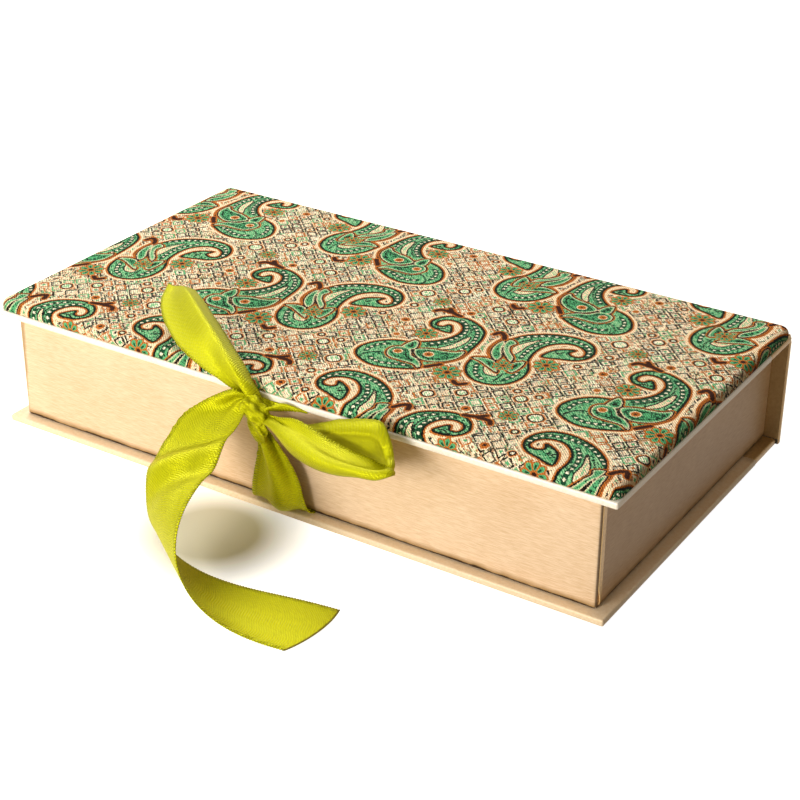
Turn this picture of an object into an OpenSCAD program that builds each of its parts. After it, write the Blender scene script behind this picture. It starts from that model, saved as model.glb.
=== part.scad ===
// Book-style cutlery box: a lined tray on a base board, a padded lid on a paper crease,
// and a satin ribbon tied in a half bow at the front.
// Millimetres, +Z up, +X along the front, +Y towards the spine, origin at the middle of the
// base's underside.

/* [Boards and paper] */
// Thickness of the greyboard of the base, the spine and the lid
board_t = 2; // [1.5:0.1:3]
// Thickness of every covering paper
paper_t = 0.3; // [0.2:0.05:0.5]

/* [Base] */
// Length of the covered base board
base_len = 260; // [200:1:330]
// Depth of the base from its front edge to the outside of the spine
base_depth = 149; // [110:1:200]
// Width of the gold strip over the back of the base and of the lid
hinge_lap = 20; // [10:1:30]
// Width of the paper turned in under a covered board
turn_in = 15; // [8:1:25]

/* [Tray] */
// Height of the tray, from the base's top face to the rim
tray_height = 41.5; // [34:0.5:70]
// Thickness of the tray's greyboard
tray_board = 2; // [1.5:0.1:3]
// Margin of the base left bare at each side of the tray
side_margin = 5.2; // [2:0.1:12]
// Margin of the base left bare in front of the tray
front_margin = 4.7; // [2:0.1:12]

/* [Inside] */
// Thickness of the covered card that the cutlery lies on
bed_t = 1.5; // [1:0.1:4]
// Thickness of a divider
divider_t = 2.4; // [1.5:0.1:4]
// Height of a divider
divider_height = 28; // [10:1:34]

/* [Lid] */
// How far the lid reaches past the base at each end
lid_reach = 1.9; // [0:0.1:4]
// How far the lid's front edge stands behind the base's
lid_setback = 0.9; // [0:0.1:3]
// Width of the crease between the lid board and the spine's outer face
crease = 3; // [2.5:0.1:5]
// Gap between the tray's rim and the lid's liner when the box is closed
lid_gap = 0.2; // [0.1:0.05:0.5]

/* [Padded panel] */
// Thickness of the panel's card
pad_card_t = 1; // [0.5:0.1:2]
// Thickness of the foam near its edge
foam_t = 2.4; // [1.5:0.1:6]
// Rise of the foam towards the middle
foam_crown = 0.7; // [0.1:0.1:3]
// Thickness of the woven fabric
fabric_t = 0.5; // [0.3:0.05:0.8]
// Radius of the panel's corners, seen from above
pad_corner = 4; // [3:0.5:10]
// How far the panel stays inside the lid board's edges
pad_inset = 0.3; // [0:0.1:4]

/* [Ribbon] */
// Width of the satin ribbon
ribbon_w = 26; // [20:1:30]
// Thickness of the satin ribbon
ribbon_t = 0.4; // [0.3:0.05:0.5]
// Length of the long tail from its fold to its cut end
tail_length = 130; // [110:1:140]
// Length of ribbon glued under the tray and under the lid board
tuck = 10; // [6:1:12]

/* [Hidden] */
$fn = 48;

// Overrun of every cut past the face that it opens
over = 1;
// Play round a card, a divider or a ribbon that is slid into its place
slip = 0.2;
// Play over a ribbon that is glued into its recess
glue_gap = 0.05;

// Covered board
covered_t = board_t + 2 * paper_t;

// Base, spine and tray faces
base_half = base_len / 2;
base_front = -base_depth / 2;
spine_outer = base_depth / 2;
spine_inner = spine_outer - paper_t - board_t;
tray_back = spine_inner - paper_t;
tray_front = base_front + front_margin;
tray_half = base_half - side_margin;
tray_z = covered_t;
rim_z = tray_z + tray_height;
lap_front = spine_inner - hinge_lap;
spine_half = base_half + lid_reach / 2;

// Lid faces, and the crease's axis just outside the spine's top edge
lid_half = base_half + lid_reach;
lid_front = base_front + lid_setback;
lid_back = spine_outer - crease;
lid_z = rim_z + lid_gap;
lid_under = lid_z + paper_t;
lid_top = lid_under + covered_t;
lid_lap_front = lid_back - hinge_lap;
liner_inset = 3;
hinge_z = lid_top - crease;

// Tray boards, floor and bed
wall_outer_x = tray_half - paper_t;
wall_inner_x = wall_outer_x - tray_board;
wall_front = tray_front + paper_t;
wall_back = tray_back - paper_t;
wall_z = tray_z + paper_t;
wall_top = rim_z - paper_t;
floor_front = wall_front + tray_board;
floor_back = wall_back - tray_board;
floor_top = wall_z + tray_board;
rim_turn = 12;
stay_leg = 18;
stay_t = paper_t / 2;
lining_t = 2 * paper_t;
lining_drop = 3;
bed_top = floor_top + bed_t;
inner_half = wall_inner_x - lining_t;
inner_front = floor_front + lining_t;
inner_back = floor_back - lining_t;
compartments = 4;
divider_pitch = (inner_back - inner_front + divider_t) / compartments;

// Padded panel: outline, levels and the round of its edge
pad_half = lid_half - pad_inset;
pad_front = lid_front + pad_inset;
pad_back = lid_back - pad_inset;
fold_under = 12;
card_z = lid_top + fabric_t;
foam_z = card_z + pad_card_t;
pad_edge_z = foam_z + foam_t + fabric_t;
pad_round = (pad_edge_z - lid_top) * 0.6;
pad_gap = 0.05;

// The knot hangs in front of the lid's lower front edge, a little to the left of the middle
knot_at = [-ribbon_w / 5, lid_front - ribbon_w * 0.15, lid_z - ribbon_w * 0.06];
knot_length = ribbon_w * 0.32;
knot_radius = ribbon_w * 0.12;
knot_tilt = 35;
knot_clear = 0.05;

// Block between two opposite corners
module slab(x0, x1, y0, y1, z0, z1) {
    translate([x0, y0, z0]) cube([x1 - x0, y1 - y0, z1 - z0]);
}

// Block of half-length hx, centred on the middle of the box
module plate(hx, y0, y1, z0, z1) {
    slab(-hx, hx, y0, y1, z0, z1);
}

// Rounded rectangle between -hx and hx and between y0 and y1, drawn in by inset, at height z
function ring(hx, y0, y1, r, inset, z) =
    let (q = max(r - inset, r / 4), x = hx - inset - q, a = y0 + inset + q, b = y1 - inset - q)
    [for (c = [[x, b, 90], [x, a, 0], [-x, a, 270], [-x, b, 180]], i = [0:4])
        [c[0] + q * cos(c[2] - 22.5 * i), c[1] + q * sin(c[2] - 22.5 * i), z]];

// Mean of a ring's points
function centre(r) = [for (k = [0:2]) [for (p = r) p[k]] * [for (p = r) 1] / len(r)];

// Closed skin through a list of rings, from the first ring's middle to the last ring's middle.
// Seen from the first ring towards the last, each ring runs clockwise
module loft(rings) {
    n = len(rings[0]);
    m = len(rings);
    points = concat([for (r = rings) each r], [centre(rings[0]), centre(rings[m - 1])]);
    sides = [for (k = [0:m - 2], i = [0:n - 1]) let (j = (i + 1) % n)
        each [[k * n + i, (k + 1) * n + i, k * n + j],
              [k * n + j, (k + 1) * n + i, (k + 1) * n + j]]];
    first = [for (i = [0:n - 1]) [m * n, i, (i + 1) % n]];
    last = [for (i = [0:n - 1]) [m * n + 1, (m - 1) * n + (i + 1) % n, (m - 1) * n + i]];
    polyhedron(points = points, faces = concat(sides, first, last));
}

// Smooth curve through points, with n steps between each pair
function between(a, b, c, d, t) =
    b + (c - a) * t / 2 + (2 * a - 5 * b + 4 * c - d) * t * t / 2
    + (3 * b - a - 3 * c + d) * t * t * t / 2;
function smooth(p, n) = let (m = len(p) - 1) concat(
    [for (i = [0:m - 1], k = [0:n - 1])
        between(p[max(i - 1, 0)], p[i], p[i + 1], p[min(i + 2, m)], k / n)], [p[m]]);

// Cross-lines of a ribbon: a parabola from one edge over the middle to the other edge
function across(a, m, b, n) =
    [for (i = [0:len(a) - 1]) [for (k = [0:n]) let (v = k / n)
        a[i] * ((2 * v - 1) * (v - 1)) + m[i] * (4 * v * (1 - v)) + b[i] * (v * (2 * v - 1))]];
function strip(a, m, b) = across(smooth(a, 2), smooth(m, 2), smooth(b, 2), 4);

// Solid ribbon: each point of the grid moved half the thickness to either side of the sheet
function unit(v) = v / norm(v);
function sheet_normal(g, i, k) = let (r = len(g) - 1, c = len(g[0]) - 1)
    unit(cross(g[min(i + 1, r)][k] - g[max(i - 1, 0)][k],
               g[i][min(k + 1, c)] - g[i][max(k - 1, 0)]));
function face_points(g, d) = [for (i = [0:len(g) - 1], k = [0:len(g[0]) - 1])
    g[i][k] + d * sheet_normal(g, i, k)];
module ribbon(g) {
    r = len(g);
    c = len(g[0]);
    n = r * c;
    points = concat(face_points(g, ribbon_t / 2), face_points(g, -ribbon_t / 2));
    broad = [for (i = [0:r - 2], k = [0:c - 2]) let (a = i * c + k, b = a + c)
        each [[a, a + 1, b], [a + 1, b + 1, b], [n + a, n + b, n + a + 1],
              [n + a + 1, n + b, n + b + 1]]];
    edges = [for (i = [0:r - 2]) let (a = i * c, b = a + c, e = b - 1, f = e + c)
        each [[a, b, n + a], [b, n + b, n + a], [e, n + e, f], [f, n + e, n + f]]];
    ends = [for (k = [0:c - 2]) let (e = n - c + k)
        each [[k, n + k, k + 1], [k + 1, n + k, n + k + 1],
              [e, e + 1, n + e], [e + 1, n + e + 1, n + e]]];
    polyhedron(points = points, faces = concat(broad, edges, ends));
}

// Places on the bow, as shares of the ribbon's width, counted from the knot's middle
function from_knot(shares) = [for (s = shares) knot_at + ribbon_w * s];

// Outline of the knot: a band wound once round the gathered ribbons, tilted down to the right
knot_shape_shares = [[-0.5, 0.7], [-0.42, 0.92], [-0.2, 1], [0.1, 1.04], [0.36, 0.94], [0.5, 0.7]];
module knot(grow) {
    translate(knot_at) rotate([0, knot_tilt, 0]) loft([for (s = knot_shape_shares)
        [for (i = [0:11]) let (r = knot_radius * s[1] + grow)
            [(knot_length + 2 * grow) * s[0], r * cos(30 * i), r * sin(30 * i)]]]);
}

// Base board: greyboard plate under the whole box
module base_board() {
    color("#8f8a82")
        plate(base_half - paper_t, base_front + paper_t, spine_inner, paper_t, paper_t + board_t);
}

// Opening in the base's top paper, under the tray
module base_window() {
    plate(tray_half - turn_in, tray_front + turn_in, spine_inner + over,
        covered_t - paper_t, covered_t + over);
}

// Base cover: cream paper round the base board, open under the tray
module base_cover() {
    color("#ecd2a0") difference() {
        plate(base_half, base_front, lap_front, 0, covered_t);
        plate(base_half - paper_t, base_front + paper_t, lap_front + over, paper_t,
            paper_t + board_t);
        base_window();
    }
}

// Base hinge lap: the hinge strip's lower end, round the back of the base board
module base_hinge_lap() {
    color("#a8793c") difference() {
        plate(base_half, lap_front, spine_inner, 0, covered_t);
        plate(base_half - paper_t, lap_front - over, spine_inner + over, paper_t,
            paper_t + board_t);
        base_window();
    }
}

// Spine board: greyboard plate that closes the back of the tray
module spine_board() {
    color("#8f8a82")
        plate(spine_half - paper_t, spine_inner, spine_outer - paper_t, paper_t,
            hinge_z - paper_t);
}

// Spine wrap: the hinge strip's middle, round the spine board's outer face and edges
module spine_wrap() {
    color("#a8793c") difference() {
        plate(spine_half, spine_inner, spine_outer, 0, hinge_z);
        plate(spine_half - paper_t, spine_inner - over, spine_outer - paper_t, paper_t,
            hinge_z - paper_t);
    }
}

// Spine liner: gold paper between the spine board and the tray
module spine_liner() {
    color("#8c5f2a")
        plate(spine_half - slip, tray_back, spine_inner, tray_z, hinge_z - paper_t);
}

// Recess under the tray where the base ribbon is glued in
module base_ribbon_slot() {
    plate(ribbon_w / 2 + slip, tray_front - over, tray_front + tuck + slip, tray_z - over,
        tray_z + ribbon_t + glue_gap);
}

// Tray floor: greyboard between the four walls
module tray_floor() {
    color("#8f8a82") difference() {
        plate(wall_inner_x, floor_front, floor_back, wall_z, floor_top);
        base_ribbon_slot();
    }
}

// Tray front wall: greyboard, full length
module tray_front_wall() {
    color("#8f8a82") difference() {
        plate(wall_outer_x, wall_front, floor_front, wall_z, wall_top);
        base_ribbon_slot();
    }
}

// Tray back wall: greyboard, full length
module tray_back_wall() {
    color("#8f8a82") plate(wall_outer_x, floor_back, wall_back, wall_z, wall_top);
}

// Side wall of the tray, butted between the front and the back wall
module tray_side_wall() {
    color("#8f8a82") slab(wall_inner_x, wall_outer_x, floor_front, floor_back, wall_z, wall_top);
}
module tray_right_wall() {
    tray_side_wall();
}
module tray_left_wall() {
    mirror([1, 0, 0]) tray_side_wall();
}

// Corner stays: four kraft paper angles glued round the tray's upright corners
module corner_stays() {
    color("#b08d5f") difference() {
        plate(wall_outer_x + stay_t, wall_front - stay_t, wall_back + stay_t, wall_z, wall_top);
        plate(wall_outer_x, wall_front, wall_back, wall_z - over, wall_top + over);
        plate(wall_outer_x - stay_leg, wall_front - over, wall_back + over, wall_z - over,
            wall_top + over);
        plate(wall_outer_x + over, wall_front + stay_leg, wall_back - stay_leg, wall_z - over,
            wall_top + over);
    }
}

// Tray wrap: gold metallic paper round the tray, turned over the rim and under the floor
module tray_wrap() {
    color("#d9ac62") difference() {
        plate(tray_half, tray_front, tray_back, tray_z, rim_z);
        plate(wall_outer_x, wall_front, wall_back, wall_z, wall_top - rim_turn);
        difference() {
            plate(wall_outer_x, wall_front, wall_back, wall_z, wall_top);
            plate(wall_inner_x, floor_front, floor_back, wall_z - over, wall_top + over);
        }
        plate(wall_inner_x - paper_t, floor_front + paper_t, floor_back - paper_t, wall_z,
            rim_z + over);
        plate(wall_outer_x - rim_turn, wall_front + rim_turn, wall_back - rim_turn,
            tray_z - over, wall_z + over);
        corner_stays();
        base_ribbon_slot();
    }
}

// Tray lining: paper on the inner faces of the walls, lapped over the wrap's turned edge
module tray_lining() {
    color("#d8c9a8") difference() {
        plate(wall_inner_x, floor_front, floor_back, floor_top, rim_z - lining_drop);
        plate(inner_half, inner_front, inner_back, floor_top - over, rim_z);
        difference() {
            plate(wall_inner_x + over, floor_front - over, floor_back + over,
                wall_top - rim_turn, rim_z);
            plate(wall_inner_x - paper_t, floor_front + paper_t, floor_back - paper_t,
                floor_top, rim_z + over);
        }
    }
}

// Floor pad: covered card that lies on the tray's floor
module floor_pad() {
    color("#e6dcc2") plate(inner_half - slip, inner_front + slip, inner_back - slip,
        floor_top, bed_top);
}

// Divider: covered card strip that stands on the floor pad, number i from the front
module divider(i) {
    back = inner_front + divider_pitch * i;
    color("#e6dcc2") plate(inner_half - slip, back - divider_t, back, bed_top,
        bed_top + divider_height);
}
module divider_front() {
    divider(1);
}
module divider_middle() {
    divider(2);
}
module divider_back() {
    divider(3);
}

// Places on the base ribbon: x and y as shares of the ribbon's width, y counted forwards from
// the tray's front, and z as a share of the height from the base to the knot's middle
function from_base(shares) = [for (s = shares)
    [ribbon_w * s[0], tray_front - ribbon_w * s[1],
     tray_z + ribbon_t / 2 + (knot_at[2] - tray_z) * s[2]]];
base_left_shares = [[-0.49, 0.005, 0], [-0.49, 0.06, 0.01], [-0.42, 0.17, 0.04],
    [-0.4, 0.24, 0.1], [-0.37, 0.27, 0.22], [-0.33, 0.27, 0.36], [-0.27, 0.27, 0.56],
    [-0.24, 0.28, 0.89]];
base_mid_shares = [[0, 0.005, 0], [0.01, 0.08, 0.01], [0.08, 0.22, 0.03], [0.11, 0.3, 0.08],
    [0.12, 0.35, 0.18], [0.1, 0.35, 0.35], [0, 0.35, 0.56], [-0.18, 0.33, 0.88]];
base_right_shares = [[0.49, 0.005, 0], [0.49, 0.06, 0.01], [0.5, 0.14, 0.04], [0.47, 0.19, 0.11],
    [0.43, 0.21, 0.23], [0.38, 0.22, 0.36], [0.22, 0.24, 0.56], [-0.13, 0.29, 0.86]];

// Base ribbon: glued under the tray, it comes out over the base's margin and rises to the knot
module base_ribbon() {
    color("#bcc010") {
        plate(ribbon_w / 2, tray_front - slip, tray_front + tuck, tray_z, tray_z + ribbon_t);
        ribbon(strip(from_base(base_left_shares), from_base(base_mid_shares),
            from_base(base_right_shares)));
    }
}

// Recess in the lid board's underside where the lid ribbon is glued in
module lid_ribbon_slot() {
    plate(ribbon_w / 2 + slip, lid_front - over, lid_front + tuck + slip, lid_under - over,
        lid_under + ribbon_t + glue_gap);
}

// Lid board: greyboard plate
module lid_board() {
    color("#8f8a82") difference() {
        plate(lid_half - paper_t, lid_front + paper_t, lid_back - paper_t,
            lid_under + paper_t, lid_top - paper_t);
        lid_ribbon_slot();
    }
}

// Space of the lid board, and the opening that the turned-in paper leaves under it
module lid_pocket() {
    plate(lid_half - paper_t, lid_front + paper_t, lid_back - paper_t, lid_under + paper_t,
        lid_top - paper_t);
    plate(lid_half - turn_in, lid_front + turn_in, lid_back - turn_in, lid_under - over,
        lid_top - paper_t);
}

// Lid cover: cream paper round the lid board, turned in underneath
module lid_cover() {
    color("#f4e6cc") difference() {
        plate(lid_half, lid_front, lid_lap_front, lid_under, lid_top);
        lid_pocket();
        lid_ribbon_slot();
    }
}

// Lid hinge lap: the hinge strip's upper end, round the back of the lid board, and the crease
// that bends over a quarter circle down to the spine's top
module lid_hinge_lap() {
    color("#a8793c") {
        difference() {
            plate(lid_half, lid_lap_front, lid_back, lid_under, lid_top);
            lid_pocket();
        }
        translate([-spine_half, lid_back, hinge_z]) rotate([90, 0, 90]) difference() {
            linear_extrude(2 * spine_half) difference() {
                circle(r = crease);
                circle(r = crease - paper_t);
            }
            translate([-crease - over, -crease - over, -over])
                cube([crease + over, 2 * (crease + over), 2 * (spine_half + over)]);
            translate([-over, -crease - over, -over])
                cube([crease + 2 * over, crease + over, 2 * (spine_half + over)]);
        }
    }
}

// Lid liner: paper glued under the lid board
module lid_liner() {
    color("#e6dcc2") plate(lid_half - liner_inset, lid_front + liner_inset,
        lid_back - liner_inset, lid_z, lid_under);
}

// Rings of the panel's domed skin, from its middle to its edge and down to its underside:
// the top rises by the crown towards the middle, and the edge is a quarter round
crown_shares = [0.3, 0.16, 0.08, 0.04];
function pad_rings(d) =
    let (hx = pad_half - d, y0 = pad_front + d, y1 = pad_back - d, top = pad_edge_z - d,
        r = pad_round - d, q = pad_corner - d, reach = max(crown_shares) * (y1 - y0))
    concat(
        [for (s = crown_shares) let (f = 1 - s * (y1 - y0) / reach)
            ring(hx, y0, y1, q, r + s * (y1 - y0), top + foam_crown * (1 - f * f))],
        [for (a = [90, 60, 30, 0]) ring(hx, y0, y1, q, r * (1 - cos(a)), top - r * (1 - sin(a)))]);
function pad_outline(d, inset, z) =
    ring(pad_half - d, pad_front + d, pad_back - d, pad_corner - d, inset, z);

// Panel card: stiff card that the foam is glued to
module pad_card() {
    color("#c9c2b4") loft([pad_outline(fabric_t + pad_gap, 0, foam_z),
        pad_outline(fabric_t + pad_gap, 0, card_z)]);
}

// Panel foam: thin sheet, domed by the fabric pulled over its edge
module pad_foam() {
    color("#efe9da") loft(concat(pad_rings(fabric_t + pad_gap),
        [pad_outline(fabric_t + pad_gap, 0, foam_z)]));
}

// Lid fabric: one woven cloth pulled over the foam and glued under the card
module lid_fabric() {
    inner = pad_rings(fabric_t);
    color("#6f9a5c") loft(concat(pad_rings(0),
        [pad_outline(0, 0, lid_top + fabric_t / 2), pad_outline(0, fabric_t / 2, lid_top),
         pad_outline(0, fold_under, lid_top), pad_outline(0, fold_under, card_z),
         pad_outline(fabric_t, 0, card_z)],
        [for (i = [len(inner) - 1:-1:0]) inner[i]]));
}

// Lid ribbon: glued under the lid board, it comes out at the front and gathers into the knot
lid_left_shares = [[-0.24, 0.05, 0.1], [-0.2, 0.02, 0.08], [-0.1, 0, 0.06]];
lid_mid_shares = [[0.1, 0.07, 0.08], [0.08, 0.03, 0.05], [0.04, 0, 0.03]];
lid_right_shares = [[0.46, 0.06, 0.07], [0.3, 0.03, 0.04], [0.1, 0, 0]];
function lid_edge(x_share, y) = [ribbon_w * x_share, y, lid_under + ribbon_t / 2];
module lid_ribbon() {
    inside = lid_front - slip / 2;
    outside = lid_front - 2 * slip;
    color("#bcc010") {
        plate(ribbon_w / 2, lid_front - slip, lid_front + tuck, lid_under, lid_under + ribbon_t);
        difference() {
            ribbon(strip(concat([lid_edge(-0.49, inside), lid_edge(-0.49, outside)],
                    from_knot(lid_left_shares)),
                concat([lid_edge(0, inside), lid_edge(0, outside)], from_knot(lid_mid_shares)),
                concat([lid_edge(0.49, inside), lid_edge(0.49, outside)],
                    from_knot(lid_right_shares))));
            knot(knot_clear);
        }
    }
}

// Knot of the bow
module bow_knot() {
    color("#a9ad0c") knot(0);
}

// Loop of the half bow: out along the front, round, and back behind itself to the knot
loop_top_shares = [[0.02, -0.02, 0.06], [0.7, -0.1, 0.06], [1.08, -0.18, 0.05],
    [1.42, -0.26, 0.03], [1.7, -0.3, 0], [1.92, -0.32, 0.04], [2.04, -0.28, 0.2],
    [2.06, -0.2, 0.36], [2.02, -0.08, 0.42], [1.66, 0.02, 0.34], [1.34, 0.03, 0.24],
    [1.06, 0.04, 0.1], [0.78, 0.05, -0.01], [0.06, 0.05, -0.02]];
loop_mid_shares = [[0.02, -0.05, 0], [0.68, -0.26, 0.02], [1.14, -0.42, 0], [1.56, -0.54, -0.01],
    [2, -0.62, 0.03], [2.28, -0.66, 0.14], [2.38, -0.6, 0.32], [2.34, -0.5, 0.46],
    [2.24, -0.34, 0.48], [1.8, -0.12, 0.22], [1.4, -0.02, 0.1], [1.04, 0.02, -0.02],
    [0.74, 0.04, -0.08], [0.06, 0.04, -0.05]];
loop_low_shares = [[0.02, -0.06, -0.06], [0.54, -0.26, -0.2], [0.84, -0.4, -0.24],
    [1.18, -0.54, -0.24], [1.62, -0.66, -0.16], [2.08, -0.76, -0.06], [2.42, -0.8, 0.06],
    [2.5, -0.72, 0.16], [2.42, -0.54, 0.08], [1.96, -0.26, 0.02], [1.42, -0.06, -0.06],
    [1.02, 0, -0.14], [0.74, 0.03, -0.16], [0.06, 0.03, -0.08]];
module bow_loop() {
    color("#bcc010") difference() {
        ribbon(strip(from_knot(loop_top_shares), from_knot(loop_mid_shares),
            from_knot(loop_low_shares)));
        knot(knot_clear);
    }
}

// Short tail: up out of the knot and back over the lid, ridged along its middle. Its heights are
// shares of the rise from the knot's middle to the panel's top
function over_lid(shares) = [for (s = shares) knot_at
    + [ribbon_w * s[0], ribbon_w * s[1], (pad_edge_z + foam_crown - knot_at[2]) * s[2]]];
short_left_shares = [[-0.06, -0.03, 0.14], [-0.6, -0.02, 0.82], [-0.94, 0, 1.03],
    [-1.3, 0.08, 1.2], [-1.64, 0.2, 1.36], [-2.02, 0.46, 1.58], [-2.36, 0.86, 1.8],
    [-2.54, 1.22, 2]];
short_ridge_shares = [[-0.03, -0.04, 0.2], [-0.22, -0.2, 1.14], [-0.6, 0.04, 1.47],
    [-1.02, 0.38, 1.74], [-1.44, 0.7, 1.96], [-1.78, 0.92, 2.12], [-2.04, 1.06, 2.26],
    [-2.24, 1.18, 2.26]];
short_right_shares = [[0, 0.02, 0.16], [-0.14, 0.03, 0.92], [-0.42, 0.2, 1.25],
    [-0.7, 0.4, 1.47], [-1.12, 0.66, 1.69], [-1.62, 1, 1.9], [-1.92, 1.2, 2],
    [-2.12, 1.34, 2.06]];
module tail_short() {
    color("#bcc010") difference() {
        ribbon(strip(over_lid(short_left_shares), over_lid(short_ridge_shares),
            over_lid(short_right_shares)));
        knot(knot_clear);
    }
}

// Long tail: a ribbon wound obliquely on a level axis, so that it turns down, forwards and back
// along the surface that the box stands on. The profile's turning is given in degrees for the
// profile's whole length, at equal steps along it. The lowest point just clears the surface
tail_start_share = [-0.72, 0.1];
tail_start_height_share = 0.93;
tail_axis = -36;
tail_slant = 43;
tail_lean = 220;
tail_turn_table = [[0, -250], [0.17, -80], [0.33, 295], [0.5, 440], [0.67, 265], [0.83, 95],
    [1, -40]];
tail_cut_share = 0.25;
tail_lift = 1.2;
tail_rows = 26;
profile_length = tail_length * sin(tail_slant);
profile_margin = ribbon_w / profile_length;
profile_step = 0.004;
profile_u = [for (u = -profile_margin; u < 1 + profile_margin; u = u + profile_step) u];
profile_angle = [for (i = 0, a = tail_lean - tail_turn_table[0][1] * profile_margin;
    i < len(profile_u); a = a + lookup(profile_u[i], tail_turn_table) * profile_step, i = i + 1) a];
profile_run = [for (i = 0, d = 0; i < len(profile_u);
    d = d + cos(profile_angle[i]) * profile_step, i = i + 1) [profile_u[i], d]];
profile_rise = [for (i = 0, d = 0; i < len(profile_u);
    d = d + sin(profile_angle[i]) * profile_step, i = i + 1) [profile_u[i], d]];
run_0 = lookup(0, profile_run);
rise_0 = lookup(0, profile_rise);
tail_start = [knot_at[0] + ribbon_w * tail_start_share[0],
    knot_at[1] + ribbon_w * tail_start_share[1], knot_at[2] * tail_start_height_share];
deepest = min([for (i = [0:len(profile_u) - 1]) if (profile_u[i] > 0 && profile_u[i] < 1)
    profile_rise[i][1]]) - rise_0;
function tail_point(s, t) =
    let (u = (s * sin(tail_slant) + t * cos(tail_slant)) / profile_length,
        along = s * cos(tail_slant) - t * sin(tail_slant),
        out = (lookup(u, profile_run) - run_0) * profile_length,
        sunk = (lookup(u, profile_rise) - rise_0) / deepest)
    [tail_start[0] + along * cos(tail_axis) - out * sin(tail_axis),
     tail_start[1] + along * sin(tail_axis) + out * cos(tail_axis),
     tail_start[2] - (tail_start[2] - ribbon_t - tail_lift) * sunk];

// The gathered neck that leads from the knot to the long tail's fold
neck_end_shares = [[-0.1, -0.08, 0.08], [-0.14, -0.1, 0.02], [-0.16, -0.1, -0.04]];
neck_leave_share = 0.7;
neck_arrive_share = 0.3;
neck_way = [-0.7, -0.3, 0.65];
function hermite(a, da, b, db, t) = a * (1 - t * t * (3 - 2 * t)) + b * (t * t * (3 - 2 * t))
    + da * (t * (1 - t) * (1 - t)) - db * (t * t * (1 - t));
neck_rows = 5;
tail_grid = let (
    cross_t = [for (k = [0:4]) ribbon_w * (0.5 - k / 4)],
    first = [for (t = cross_t) tail_point(0, t)],
    next = [for (t = cross_t) tail_point(over, t)],
    gathered = across([from_knot(neck_end_shares)[0]], [from_knot(neck_end_shares)[1]],
        [from_knot(neck_end_shares)[2]], 4)[0])
    concat(
        [for (i = [0:neck_rows - 1]) [for (k = [0:4])
            hermite(gathered[k], neck_way * ribbon_w * neck_leave_share, first[k],
                unit(next[k] - first[k]) * ribbon_w * neck_arrive_share, i / neck_rows)]],
        [for (i = [0:tail_rows]) [for (t = cross_t)
            tail_point((tail_length + tail_cut_share * t) * i / tail_rows, t)]]);
module tail_long() {
    color("#bcc010") difference() {
        ribbon(tail_grid);
        knot(knot_clear);
    }
}

base_board();
base_cover();
base_hinge_lap();
spine_board();
spine_wrap();
spine_liner();
tray_floor();
tray_front_wall();
tray_back_wall();
tray_left_wall();
tray_right_wall();
corner_stays();
tray_wrap();
tray_lining();
floor_pad();
divider_front();
divider_middle();
divider_back();
base_ribbon();
lid_board();
lid_cover();
lid_hinge_lap();
lid_liner();
pad_card();
pad_foam();
lid_fabric();
lid_ribbon();
bow_knot();
bow_loop();
tail_long();
tail_short();
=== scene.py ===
import bpy
import numpy as np
from mathutils import Matrix, Vector


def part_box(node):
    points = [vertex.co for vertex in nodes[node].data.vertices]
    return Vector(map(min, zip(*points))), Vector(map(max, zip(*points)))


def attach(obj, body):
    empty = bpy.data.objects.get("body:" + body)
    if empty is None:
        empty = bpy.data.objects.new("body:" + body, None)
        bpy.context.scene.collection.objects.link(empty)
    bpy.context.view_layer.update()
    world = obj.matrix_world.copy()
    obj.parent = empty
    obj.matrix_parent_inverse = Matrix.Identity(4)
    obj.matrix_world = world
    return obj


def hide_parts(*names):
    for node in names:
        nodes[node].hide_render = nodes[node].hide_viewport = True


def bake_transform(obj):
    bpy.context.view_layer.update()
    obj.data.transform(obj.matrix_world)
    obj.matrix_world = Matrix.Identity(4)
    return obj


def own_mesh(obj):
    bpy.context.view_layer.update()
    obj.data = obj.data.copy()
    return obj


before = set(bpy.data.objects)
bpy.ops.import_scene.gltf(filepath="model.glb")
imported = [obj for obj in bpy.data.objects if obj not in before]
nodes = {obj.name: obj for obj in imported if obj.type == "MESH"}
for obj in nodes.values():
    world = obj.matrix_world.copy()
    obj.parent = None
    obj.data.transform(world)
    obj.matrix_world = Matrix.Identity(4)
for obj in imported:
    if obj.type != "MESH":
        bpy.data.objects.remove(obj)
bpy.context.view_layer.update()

# Camera. It stands to the right of the box's front and above it, as far off as the photograph's
# converging edges say. The photograph is square.
CAMERA_PLACE = (0.3359, -0.5226, 0.3401)
CAMERA_TURN = 32.43
CAMERA_DROP = 27.72
CAMERA_ROLL = 0.4
FOCAL_LENGTH = 81.6

camera_data = bpy.data.cameras.new("camera")
camera_data.sensor_fit = "HORIZONTAL"
camera_data.sensor_width = 36
camera_data.lens = FOCAL_LENGTH
camera = bpy.data.objects.new("camera", camera_data)
camera.matrix_world = (Matrix.Translation(CAMERA_PLACE)
                       @ Matrix.Rotation(np.radians(CAMERA_TURN), 4, "Z")
                       @ Matrix.Rotation(np.radians(90 - CAMERA_DROP), 4, "X")
                       @ Matrix.Rotation(np.radians(CAMERA_ROLL), 4, "Z"))
bpy.context.scene.collection.objects.link(camera)
bpy.context.scene.camera = camera

# Base. A greyboard plate covered in pearly cream paper, which is drawn round its edges and turned
# in over its top face, with mitred corners. The tray is glued on top, inside a narrow margin.
MM = 0.001
BOARD_EDGE = 0.7 * MM
STATIONS = 30
PEARL = (0.90, 0.72, 0.50)
PEARL_DEEP = (0.80, 0.59, 0.34)
CLOUD_SCALE = 35
SPECK_SCALE = 2600
FIBRE_SHARE = 0.7
PAPER_RELIEF = 0.07 * MM


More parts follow.
